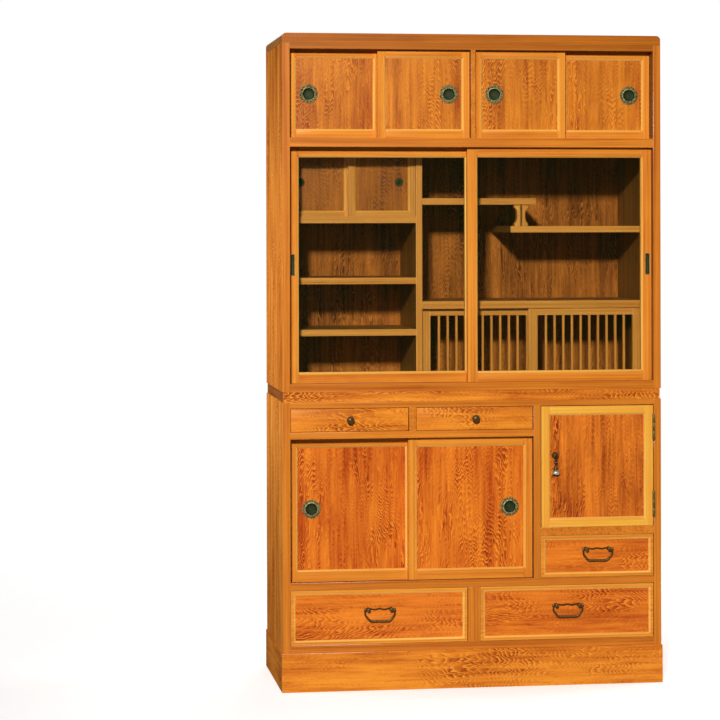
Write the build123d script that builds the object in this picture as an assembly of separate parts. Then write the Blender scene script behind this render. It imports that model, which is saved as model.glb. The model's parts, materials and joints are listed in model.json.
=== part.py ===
"""Two-stage mizuya kitchen cabinet in figured cedar, with every board, door, drawer and pull.

Millimetres.  +X is to the right of someone facing the cabinet, +Y runs from its front to its
back and +Z is up.  The origin is under the middle of the cabinet, at floor level.  In the
functions below, x is measured from the left outer face of the cases, y from their front
plane and z from the floor; at_place() turns that into the cabinet's own frame.
"""
from build123d import *
import os

# Cases, plinth and waist band
case_width = 1060.0
case_depth = 420.0
side_thickness = 21.0
top_thickness = 27.0
top_rounding = 12.0
back_thickness = 8.0
back_inset = 10.0
plinth_height = 106.0
plinth_thickness = 20.0
plinth_overhang = 3.0
lower_case_height = 684.0
waist_height = 29.0
waist_thickness = 20.0
waist_side_inset = 3.0
waist_front_inset = 1.5
upper_case_height = 981.0

# Joints between boards
housing_depth = 6.0
housing_stop = 15.0
corner_tenon_height = 14.0
corner_tenon_length = 60.0
corner_tenon_thickness = 11.0
corner_tenon_count = 4
joint_play = 0.2

# Lower case, from the plinth up
lower_bottom_thickness = 21.0
bottom_drawer_opening = 150.0
mid_board_thickness = 21.0
right_drawer_opening = 116.0
right_shelf_thickness = 23.0
small_drawer_opening = 65.0
small_shelf_thickness = 19.0
lower_top_thickness = 16.0
right_bay_width = 321.0
partition_thickness = 20.0
small_divider_thickness = 20.0
drawer_post_width = 35.0
drawer_post_depth = 22.0
drawer_partition_thickness = 15.0
guide_height = 18.0
door_stop_width = 10.0
door_stop_thickness = 12.0

# Upper case, from its bottom board up
upper_bottom_thickness = 22.0
upper_mid_thickness = 25.0
top_door_opening = 243.0
head_rail_thickness = 16.0
head_rail_depth = 66.0
upper_partition_thickness = 13.0

# Open display behind the glass doors
display_setback = 120.0
display_left_width = 368.0
divider_thickness = 18.0
shelf_thickness = 18.0
low_shelf_space = 125.0
mid_shelf_space = 126.0
tall_shelf_space = 152.0
cupboard_floor_thickness = 20.0
lattice_opening = 199.0
lattice_top_thickness = 21.0
stagger_low_space = 192.0
stagger_low_length = 380.0
stagger_high_length = 324.0
strut_height = 60.5
strut_from_end = 32.0
strut_flange_width = 40.0
strut_waist_width = 25.0
strut_foot_width = 38.0
strut_flange_height = 9.0
strut_depth = 24.0
strut_groove_width = 6.0
strut_groove_depth = 3.0

# Sliding doors
sill_groove_depth = 3.0
head_groove_depth = 8.0
head_engagement = 4.0
slide_gap = 0.3
door_side_play = 0.5
door_setback = 20.0
door_thickness = 18.0
door_track_gap = 3.0
inner_door_setback = 6.0
inner_door_thickness = 14.0
tenon_length = 12.0
panel_groove = 5.0
bevel_width = 5.0
bevel_depth = 5.0
panel_thickness = 8.0
inner_panel_thickness = 5.0
glass_thickness = 3.0
top_door_stile = 22.0
top_door_rail = 28.0
top_door_overlap = 12.0
glass_door_stile = 29.0
glass_door_rail = 32.0
glass_door_overlap = 26.0
lower_door_stile = 24.0
lower_door_rail = 32.0
lower_door_overlap = 18.0
small_door_stile = 21.0
small_door_rail = 18.0
small_door_overlap = 10.0
lattice_stile = 26.0
lattice_rail = 20.0
lattice_overlap = 24.0
lattice_bar_count = 10
lattice_bar_width = 6.0
lattice_bar_depth = 8.0

# Hinged door and its butt hinges
hinged_door_thickness = 20.0
hinged_door_stile = 26.0
hinged_door_rail = 26.0
hinged_door_gap = 2.0
hinge_length = 70.0
hinge_from_end = 61.0
hinge_leaf_thickness = 1.5
hinge_leaf_depth = 18.0
hinge_barrel_radius = 4.0
hinge_barrel_standoff = 0.5
hinge_pin_radius = 1.6
hinge_pin_play = 0.08
hinge_knuckle_gap = 0.4

# Drawers
drawer_setback = 3.0
drawer_front_thickness = 20.0
drawer_front_margin = 8.0
drawer_field_depth = 4.0
drawer_gap = 1.2
drawer_side_thickness = 12.0
drawer_bottom_thickness = 6.0
drawer_bottom_lift = 6.0
drawer_housing = 7.0
drawer_back_play = 3.0
drawer_side_drop = 12.0
small_front_round = 2.0

# Metal fittings
round_pull_radius = 23.0
round_pull_dish_radius = 16.0
round_pull_rim = 2.0
round_pull_depth = 8.5
small_pull_radius = 11.0
small_pull_dish_radius = 7.5
small_pull_rim = 1.2
small_pull_depth = 6.0
pull_wall = 1.0
pull_play = 0.2
top_pull_inset = 57.5
lower_pull_inset = 63.0
small_pull_inset = 46.0
slot_pull_width = 13.0
slot_pull_height = 60.0
slot_pull_depth = 9.0
slot_pull_inset = 5.0
slot_pull_rim = 0.6
slot_pull_bezel = 1.5
knob_radius = 10.5
knob_neck_radius = 4.5
knob_base_radius = 7.5
knob_reach = 22.0
knob_stem_radius = 3.0
stem_length = 12.0
bail_post_spacing = 64.0
bail_post_radius = 4.5
bail_head_radius = 5.5
bail_head_height = 4.0
bail_pivot_reach = 9.0
bail_span = 82.0
bail_rod_radius = 3.0
bail_eye_radius = 4.0
bail_pin_radius = 2.0
bail_pin_play = 0.1
bail_drop = 31.0
bail_shoulder_drop = 14.0
bail_grip_width = 54.0
bail_bend_radius = 7.0
bail_above_centre = 19.0
bail_plate_height = 5.0
bail_plate_thickness = 2.0
drop_from_frame = 13.5
drop_above_centre = 31.0
drop_boss_radius = 9.5
drop_boss_reach = 14.0
drop_pivot_reach = 11.0
drop_tab_thickness = 4.0
drop_tab_radius = 3.6
drop_slot_play = 0.4
drop_tab_length = 14.0
drop_length = 52.0
drop_neck_radius = 4.5
drop_bell_radius = 10.0
drop_bell_height = 20.0
drop_pin_radius = 1.5

# Heights and widths that follow from the sizes above
lower_z = plinth_height
waist_z = lower_z + lower_case_height
upper_z = waist_z + waist_height
top_z = upper_z + upper_case_height
case_left = side_thickness
case_right = case_width - side_thickness
back_y = case_depth - back_inset - back_thickness
front_reach = max(knob_reach - drawer_setback, drop_pivot_reach + drop_bell_radius - bevel_depth,
                  bail_pivot_reach + bail_head_height + bail_post_radius - drawer_setback)
front_y = (front_reach - case_depth) / 2

lower_floor = lower_z + lower_bottom_thickness
mid_z = lower_floor + bottom_drawer_opening
mid_top = mid_z + mid_board_thickness
lower_ceiling = waist_z - lower_top_thickness
small_floor = lower_ceiling - small_drawer_opening
small_shelf_z = small_floor - small_shelf_thickness
right_shelf_z = mid_top + right_drawer_opening
right_floor = right_shelf_z + right_shelf_thickness
bay_left = case_right - right_bay_width
partition_left = bay_left - partition_thickness
small_divider_left = (case_left + partition_left - small_divider_thickness) / 2
small_divider_right = small_divider_left + small_divider_thickness
post_left = (case_width - drawer_post_width) / 2
post_right = post_left + drawer_post_width

upper_floor = upper_z + upper_bottom_thickness
top_board_z = top_z - top_thickness
head_z = top_board_z - head_rail_thickness
top_door_floor = head_z - top_door_opening
glass_ceiling = top_door_floor - upper_mid_thickness
upper_partition_left = (case_width - upper_partition_thickness) / 2
upper_partition_right = upper_partition_left + upper_partition_thickness

divider_left = case_left + display_left_width
divider_right = divider_left + divider_thickness
low_shelf_z = upper_floor + low_shelf_space
mid_shelf_z = low_shelf_z + shelf_thickness + mid_shelf_space
cupboard_floor_z = mid_shelf_z + shelf_thickness + tall_shelf_space
cupboard_floor = cupboard_floor_z + cupboard_floor_thickness
lattice_top_z = upper_floor + lattice_opening
stagger_low_z = lattice_top_z + lattice_top_thickness + stagger_low_space
stagger_high_z = stagger_low_z + shelf_thickness + strut_height
stagger_low_left = case_right - stagger_low_length
stagger_high_right = divider_right + stagger_high_length
inner_front = display_setback + inner_door_setback

hinge_x = case_right - hinged_door_gap / 2
hinge_y = -(hinge_barrel_radius + hinge_barrel_standoff)


def at_place(x, y, z):
    """Location of a point given from the left outer face, the front plane and the floor."""
    return Pos(x - case_width / 2, y + front_y, z)


def board(x0, x1, y0, y1, z0, z1):
    """Plain board between two corners."""
    place = at_place((x0 + x1) / 2, (y0 + y1) / 2, (z0 + z1) / 2)
    return place * Box(x1 - x0, y1 - y0, z1 - z0)


def shelf(x0, x1, z0, z1, y0=0.0, left_end=True, right_end=True):
    """Level board with a stopped tongue at each housed end."""
    reach_left = housing_depth if left_end else 0.0
    reach_right = housing_depth if right_end else 0.0
    tongue = board(x0 - reach_left, x1 + reach_right, y0 + housing_stop, back_y - housing_stop, z0, z1)
    return board(x0, x1, y0, back_y, z0, z1) + tongue


def upright(x0, x1, z0, z1, y0=0.0, y1=back_y):
    """Standing board with a stopped tongue at its foot and head."""
    tongue = board(x0, x1, y0 + housing_stop, y1 - housing_stop, z0 - housing_depth, z1 + housing_depth)
    return board(x0, x1, y0, y1, z0, z1) + tongue


def track(x0, x1, face_y, thickness, z, depth):
    """Pair of grooves for a front and a rear sliding door; depth is negative below z."""
    grooves = []
    for row in range(2):
        y0 = face_y + row * (thickness + door_track_gap)
        grooves.append(board(x0, x1, y0 - slide_gap, y0 + thickness + slide_gap, min(z, z + depth), max(z, z + depth)))
    return grooves


def cut_all(solid, tools):
    """The solid with each of the tools taken out of it."""
    for tool in tools:
        solid = solid - tool
    return solid


def tapered_pocket(x0, x1, z0, z1, face_y, depth, slope):
    """Shallow field sunk into a front face, with sloping sides; the corners are its floor's."""
    def section(y, grow):
        place = at_place((x0 + x1) / 2, y, (z0 + z1) / 2)
        plane = Plane(place.position, x_dir=(1, 0, 0), z_dir=(0, -1, 0))
        return plane * Rectangle(x1 - x0 + 2 * grow, z1 - z0 + 2 * grow)
    return loft([section(face_y, slope), section(face_y + depth, 0)])


def turned(profile, x, y, z):
    """Solid of revolution about the front-to-back line through a point.

    profile holds (radius, y offset) pairs, from the axis round and back to the axis.
    """
    face = make_face(Polyline(*[(radius, offset) for radius, offset in profile], close=True))
    return at_place(x, y, z) * revolve(face, axis=Axis.Y)


def rod_across(x0, x1, y, z, radius):
    """Round rod from left to right."""
    return at_place((x0 + x1) / 2, y, z) * Rot(0, 90, 0) * Cylinder(radius, x1 - x0)


def rod_back(x, y0, y1, z, radius):
    """Round rod from front to back."""
    return at_place(x, (y0 + y1) / 2, z) * Rot(90, 0, 0) * Cylinder(radius, y1 - y0)


def rod_up(x, y, z0, z1, radius):
    """Standing round rod."""
    return at_place(x, y, (z0 + z1) / 2) * Cylinder(radius, z1 - z0)


def save(name, solids):
    """Write one node, which holds one solid or several separate ones."""
    shape = solids[0] if len(solids) == 1 else Compound(children=[solid for item in solids for solid in item.solids()])
    export_step(shape, os.path.join("parts", name + ".step"))


# Cases and plinth

def make_plinth():
    """Open base: a full front board, two sides behind it and a back board between them."""
    front_face = -plinth_overhang
    left, right = -plinth_overhang, case_width + plinth_overhang
    front = board(left, right, front_face, front_face + plinth_thickness, 0, plinth_height)
    sides = [board(x, x + plinth_thickness, front_face + plinth_thickness, case_depth, 0, plinth_height)
             for x in (left, right - plinth_thickness)]
    back = board(left + plinth_thickness, right - plinth_thickness,
                 case_depth - plinth_thickness, case_depth, 0, plinth_height)
    return [front, *sides, back]


def make_waist_band():
    """Low frame that the upper case stands on, set in from the sides."""
    left, right = waist_side_inset, case_width - waist_side_inset
    inner_y = waist_front_inset + waist_thickness
    front = board(left, right, waist_front_inset, inner_y, waist_z, upper_z)
    sides = [board(x, x + waist_thickness, inner_y, case_depth, waist_z, upper_z)
             for x in (left, right - waist_thickness)]
    back = board(left + waist_thickness, right - waist_thickness,
                 case_depth - waist_thickness, case_depth, waist_z, upper_z)
    return [front, *sides, back]


def make_back(z0, z1):
    """Thin back, held in grooves in the sides."""
    return board(case_left - housing_depth, case_right + housing_depth, back_y, back_y + back_thickness, z0, z1)


def make_side(x0, z0, z1, housed):
    """Case side, housed for the boards that end in it."""
    return cut_all(board(x0, x0 + side_thickness, 0, case_depth, z0, z1), housed)


def corner_tenons(x0, grow=0.0):
    """Row of stub tenons that join a case side to the top board."""
    inset = (side_thickness - corner_tenon_thickness) / 2
    pitch = case_depth / corner_tenon_count
    tenons = []
    for index in range(corner_tenon_count):
        middle = (index + 0.5) * pitch
        half = corner_tenon_length / 2 + grow
        tenons.append(board(x0 + inset - grow, x0 + inset + corner_tenon_thickness + grow, middle - half, middle + half,
                            top_board_z, top_board_z + corner_tenon_height + grow))
    return tenons


def make_top_board():
    """Top board, rounded over at both ends, mortised for the sides and grooved for the back."""
    top = board(0, case_width, 0, case_depth, top_board_z, top_z)
    long_edges = top.edges().filter_by(Axis.Y).group_by(Axis.Z)[-1]
    top = fillet(long_edges, top_rounding)
    mortises = corner_tenons(0, joint_play) + corner_tenons(case_right, joint_play)
    return cut_all(top, mortises)


# Doors

def frame_members(x0, x1, y0, z0, z1, thickness, stile, rail, infill, pocket):
    """Two stiles and two rails, tenoned together and grooved for what they hold."""
    web = thickness / 3
    tenon_y = y0 + (thickness - web) / 2
    rails = []
    for low, high in ((z0, z0 + rail), (z1 - rail, z1)):
        middle, half = (low + high) / 2, (rail - 2 * panel_groove) / 2
        tenon = board(x0 + stile - tenon_length, x1 - stile + tenon_length, tenon_y, tenon_y + web,
                      middle - half, middle + half)
        rails.append(board(x0 + stile, x1 - stile, y0, y0 + thickness, low, high) + tenon)
    stiles = [cut_all(board(x, x + stile, y0, y0 + thickness, z0, z1), rails) for x in (x0, x1 - stile)]
    return [cut_all(member, [infill, pocket]) for member in stiles + rails]


def make_framed_door(x0, x1, y0, z0, z1, thickness, stile, rail, infill_thickness):
    """Door of a grooved frame round a sunk panel or pane, with bevelled inner edges."""
    infill = board(x0 + stile - panel_groove, x1 - stile + panel_groove, y0 + bevel_depth,
                   y0 + bevel_depth + infill_thickness, z0 + rail - panel_groove, z1 - rail + panel_groove)
    pocket = tapered_pocket(x0 + stile, x1 - stile, z0 + rail, z1 - rail, y0, bevel_depth, bevel_width)
    return frame_members(x0, x1, y0, z0, z1, thickness, stile, rail, infill, pocket), infill


def door_places(x0, x1, overlap, face_y, thickness):
    """Left and right edge and face of a pair of sliding doors: the rear one, then the front one."""
    width = (x1 - x0 + overlap) / 2
    rear_y = face_y + thickness + door_track_gap
    return (x0 + door_side_play, x0 + width, rear_y), (x1 - width, x1 - door_side_play, face_y)


def sliding_height(floor, ceiling):
    """Foot and head of a door that stands in a sill groove and reaches into a head groove."""
    return floor - sill_groove_depth + slide_gap, ceiling + head_engagement


def round_pull(x, y, z, radius, dish, rim, depth):
    """Turned finger cup; y is the face of the panel that it is let into."""
    return turned([(0, depth), (dish + pull_wall, depth), (dish + pull_wall, 0), (radius, 0), (radius, -rim / 2),
                   (radius - rim, -rim), (dish, -rim / 2), (dish, depth - pull_wall), (0, depth - pull_wall)], x, y, z)


def make_panelled_door(place, floor, ceiling, thickness, stile, rail, infill_thickness, pull_x, pull):
    """Sliding door with a round pull; pull is (radius, dish radius, rim, depth)."""
    x0, x1, y0 = place
    z0, z1 = sliding_height(floor, ceiling)
    members, panel = make_framed_door(x0, x1, y0, z0, z1, thickness, stile, rail, infill_thickness)
    pull_z = (floor + ceiling) / 2
    radius, dish, rim, depth = pull
    hole = rod_back(pull_x, y0, y0 + thickness, pull_z, dish + pull_wall + pull_play)
    return members + [panel - hole], round_pull(pull_x, y0 + bevel_depth, pull_z, radius, dish, rim, depth)


def make_glass_door(place, pull_x):
    """Glazed sliding door: its frame, its pane and the slot pull let into one stile."""
    x0, x1, y0 = place
    z0, z1 = sliding_height(upper_floor, glass_ceiling)
    members, pane = make_framed_door(x0, x1, y0, z0, z1, door_thickness, glass_door_stile, glass_door_rail,
                                     glass_thickness)
    z_low = (upper_floor + glass_ceiling - slot_pull_height) / 2
    z_high = z_low + slot_pull_height
    body = board(pull_x, pull_x + slot_pull_width, y0 - slot_pull_rim, y0 + slot_pull_depth, z_low, z_high)
    mouth = board(pull_x + slot_pull_bezel, pull_x + slot_pull_width - slot_pull_bezel, y0 - slot_pull_rim,
                  y0 + slot_pull_depth - pull_wall, z_low + slot_pull_bezel, z_high - slot_pull_bezel)
    return [member - body for member in members], pane, body - mouth


def make_lattice_door(place):
    """Sliding door with thin upright bars tenoned into its rails."""
    x0, x1, y0 = place
    z0, z1 = sliding_height(upper_floor, lattice_top_z)
    low, high = upper_floor + lattice_rail, lattice_top_z - lattice_rail
    inner_left, inner_right = x0 + lattice_stile, x1 - lattice_stile
    pitch = (inner_right - inner_left) / (lattice_bar_count + 1)
    bar_y = y0 + (inner_door_thickness - lattice_bar_depth) / 2
    bars = [board(inner_left + index * pitch - lattice_bar_width / 2, inner_left + index * pitch + lattice_bar_width / 2,
                  bar_y, bar_y + lattice_bar_depth, low - panel_groove, high + panel_groove)
            for index in range(1, lattice_bar_count + 1)]
    stiles = [board(x, x + lattice_stile, y0, y0 + inner_door_thickness, z0, z1) for x in (x0, x1 - lattice_stile)]
    rails = [board(inner_left, inner_right, y0, y0 + inner_door_thickness, z0, low),
             board(inner_left, inner_right, y0, y0 + inner_door_thickness, high, z1)]
    return stiles + [cut_all(rail, bars) for rail in rails] + bars


# Hinged door

def hinge_heights(z0, z1):
    """Foot of the lower and of the upper hinge."""
    return z0 + hinge_from_end - hinge_length / 2, z1 - hinge_from_end - hinge_length / 2


def hinge_knuckles(foot):
    """Heights of the bottom, middle and top knuckle of a hinge."""
    third = hinge_length / 3
    play = hinge_knuckle_gap / 2
    return ((foot, foot + third - play), (foot + third + play, foot + 2 * third - play),
            (foot + 2 * third + play, foot + hinge_length))


def make_hinge_leaf(leaf_x, foot, knuckles):
    """Flat leaf let into the wood, with its knuckles round the pin."""
    leaf = board(leaf_x, leaf_x + hinge_leaf_thickness, 0, hinge_leaf_depth, foot, foot + hinge_length)
    for z0, z1 in knuckles:
        web = board(leaf_x, leaf_x + hinge_leaf_thickness, hinge_y + hinge_barrel_radius / 2, 0, z0, z1)
        leaf = leaf + web + rod_up(hinge_x, hinge_y, z0, z1, hinge_barrel_radius)
    return leaf


def make_case_leaves(z0, z1):
    """Hinge leaves on the case side, each with the pin fixed in its two outer knuckles."""
    leaves = []
    for foot in hinge_heights(z0, z1):
        bottom, middle, top = hinge_knuckles(foot)
        leaf = make_hinge_leaf(case_right, foot, (bottom, top))
        leaves.append(leaf + rod_up(hinge_x, hinge_y, foot, foot + hinge_length, hinge_pin_radius))
    return leaves


def make_door_leaves(z0, z1):
    """Hinge leaves on the door, each with one bored knuckle."""
    leaf_x = case_right - hinged_door_gap - hinge_leaf_thickness
    leaves = []
    for foot in hinge_heights(z0, z1):
        bottom, middle, top = hinge_knuckles(foot)
        leaf = make_hinge_leaf(leaf_x, foot, (middle,))
        bore = rod_up(hinge_x, hinge_y, middle[0], middle[1], hinge_pin_radius + hinge_pin_play)
        leaves.append(leaf - bore)
    return leaves


def make_drop_boss(x, y, z):
    """Domed boss on the hinged door, slotted for the drop and crossed by its pin."""
    dome = [(0, 0), (drop_boss_radius, 0), (drop_boss_radius, -drop_boss_reach * 0.45),
            (drop_boss_radius * 0.8, -drop_boss_reach * 0.82), (0, -drop_boss_reach)]
    stem = rod_back(x, y, y + panel_thickness, z, knob_stem_radius)
    half_slot = drop_tab_thickness / 2 + drop_slot_play
    slot = board(x - half_slot, x + half_slot, y - 2 * drop_boss_reach, y - drop_pivot_reach + drop_tab_radius + drop_slot_play,
                 z - 2 * drop_boss_radius, z + drop_tab_radius + drop_slot_play)
    pin = rod_across(x - drop_boss_radius / 2, x + drop_boss_radius / 2, y - drop_pivot_reach, z, drop_pin_radius)
    return turned(dome, x, y, z) - slot + pin + stem


def make_drop(x, y, z):
    """Bell-shaped drop that hangs from the boss; y is the panel face and z the pin's height."""
    pivot_y = y - drop_pivot_reach
    half_tab = drop_tab_thickness / 2
    tab = board(x - half_tab, x + half_tab, pivot_y - drop_tab_radius, pivot_y + drop_tab_radius, z - drop_tab_length, z)
    eye = rod_across(x - half_tab, x + half_tab, pivot_y, z, drop_tab_radius)
    bore = rod_across(x - half_tab, x + half_tab, pivot_y, z, drop_pin_radius + hinge_pin_play)
    bell_top = drop_bell_height - drop_length
    outline = Polyline((0, -drop_tab_length), (drop_neck_radius, -drop_tab_length), (drop_neck_radius * 0.8, bell_top),
                       (drop_bell_radius, -drop_length * 0.92), (drop_bell_radius * 0.9, -drop_length),
                       (0, -drop_length), close=True)
    face = Plane.XZ * make_face(outline)
    bell = at_place(x, pivot_y, z) * revolve(face, axis=Axis.Z)
    return tab + eye + bell - bore


# Drawers

def make_drawer(x0, x1, z0, z1, sunk_field, stem_holes):
    """Drawer box: front, two sides, back and bottom."""
    left, right = x0 + drawer_gap, x1 - drawer_gap
    low, high = z0 + slide_gap, z1 - drawer_gap
    face = drawer_setback
    inside_y = face + drawer_front_thickness
    end_y = back_y - drawer_back_play
    front = board(left, right, face, inside_y, low, high)
    if sunk_field:
        margin = drawer_front_margin + bevel_width
        front = front - tapered_pocket(left + margin, right - margin, low + margin, high - margin, face,
                                       drawer_field_depth, bevel_width)
    else:
        front = chamfer(front.faces().sort_by(Axis.Y)[0].edges(), small_front_round)
    side_high = high - drawer_side_drop
    sides = [board(x, x + drawer_side_thickness, inside_y - drawer_housing, end_y, low, side_high)
             for x in (left, right - drawer_side_thickness)]
    back = board(left + drawer_side_thickness, right - drawer_side_thickness, end_y - drawer_side_thickness, end_y,
                 low + drawer_bottom_lift, side_high)
    floor_z = low + drawer_bottom_lift
    reach = drawer_side_thickness - panel_groove
    bottom = board(left + reach, right - reach, inside_y - panel_groove, end_y - drawer_side_thickness / 2, floor_z,
                   floor_z + drawer_bottom_thickness)
    sides = [side - bottom for side in sides]
    back = back - bottom
    front = cut_all(front, sides + [bottom] + stem_holes)
    return [front, *sides, back, bottom]


def make_knob(x, z):
    """Mushroom knob with a stem into the drawer front."""
    y = drawer_setback
    outline = [(0, stem_length), (knob_stem_radius, stem_length), (knob_stem_radius, 0), (knob_base_radius, 0),
               (knob_base_radius, -knob_reach * 0.12), (knob_neck_radius, -knob_reach * 0.3),
               (knob_neck_radius, -knob_reach * 0.5), (knob_radius, -knob_reach * 0.68),
               (knob_radius, -knob_reach * 0.82), (knob_radius * 0.7, -knob_reach * 0.96), (0, -knob_reach)]
    return turned(outline, x, y, z)


def stem_hole(x, y, z):
    """Hole for a fitting's stem."""
    return rod_back(x, y, y + stem_length + pull_play, z, knob_stem_radius + pull_play)


def bail_post_places(x0, x1):
    """Left and right post of a bail that is centred on a drawer."""
    middle = (x0 + x1) / 2
    return middle - bail_post_spacing / 2, middle + bail_post_spacing / 2


def bail_height(z0, z1):
    """Height of a bail's pivot on a drawer front."""
    return (z0 + z1) / 2 + bail_above_centre


def make_bail_posts(x0, x1, z):
    """Two headed posts with stems, and the plate that joins them on the drawer front."""
    y = drawer_setback + drawer_field_depth
    tip = bail_pivot_reach + bail_post_radius
    outline = [(0, stem_length), (knob_stem_radius, stem_length), (knob_stem_radius, 0), (bail_head_radius, 0),
               (bail_head_radius, -bail_plate_thickness), (bail_post_radius, -bail_plate_thickness - 1),
               (bail_post_radius, -tip), (bail_head_radius, -tip - bail_head_height / 2), (0, -tip - bail_head_height)]
    posts = []
    for x in bail_post_places(x0, x1):
        bore = rod_across(x - bail_head_radius, x + bail_head_radius, y - bail_pivot_reach, z,
                          bail_pin_radius + bail_pin_play)
        posts.append(turned(outline, x, y, z) - bore)
    left, right = bail_post_places(x0, x1)
    plate = board(left, right, y - bail_plate_thickness, y, z - bail_plate_height / 2, z + bail_plate_height / 2)
    return [posts[0] + plate + posts[1]]


def make_bail(x0, x1, z):
    """Hanging bail: a bent rod with an eye and an inward pin at each end."""
    middle = (x0 + x1) / 2
    y = drawer_setback + drawer_field_depth - bail_pivot_reach
    half_span, half_grip = bail_span / 2, bail_grip_width / 2
    path = FilletPolyline((-half_span, 0), (-half_span, -bail_shoulder_drop), (-half_grip, -bail_drop),
                          (half_grip, -bail_drop), (half_span, -bail_shoulder_drop), (half_span, 0),
                          radius=bail_bend_radius)
    path = Plane.XZ * path
    section = Plane(path @ 0, z_dir=path % 0) * Circle(bail_rod_radius)
    bail = at_place(middle, y, z) * sweep(section, path=path)
    left_post, right_post = bail_post_places(x0, x1)
    for side, post in ((-1, left_post), (1, right_post)):
        arm_x = middle + side * half_span
        eye = rod_across(arm_x - bail_rod_radius, arm_x + bail_rod_radius, y, z, bail_eye_radius)
        pin_end = post - side * bail_head_radius
        pin = rod_across(min(pin_end, arm_x), max(pin_end, arm_x), y, z, bail_pin_radius)
        bail = bail + eye + pin
    return bail


# Strut between the staggered shelves

def make_strut():
    """Carved strut with a wide head and foot, a hollow waist and a groove down its front."""
    middle = stagger_low_left + strut_from_end
    half_height = strut_height / 2
    head, waist, foot = strut_flange_width / 2, strut_waist_width / 2, strut_foot_width / 2
    shoulder = half_height - strut_flange_height
    right_side = [(head, half_height), (head, shoulder), (waist, shoulder * 0.35), (waist, -shoulder * 0.35),
                  (foot, -shoulder), (foot, -half_height)]
    left_side = [(-x, z) for x, z in reversed(right_side)]
    outline = Plane.XZ * make_face(Polyline(*right_side, *left_side, close=True))
    y0 = display_setback + housing_stop / 2
    blank = at_place(middle, y0, stagger_low_z + shelf_thickness + half_height) * extrude(outline, -strut_depth)
    groove = board(middle - strut_groove_width / 2, middle + strut_groove_width / 2, y0, y0 + strut_groove_depth,
                   stagger_low_z + shelf_thickness + strut_flange_height, stagger_high_z - strut_flange_height)
    return blank - groove


# Every node

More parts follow.
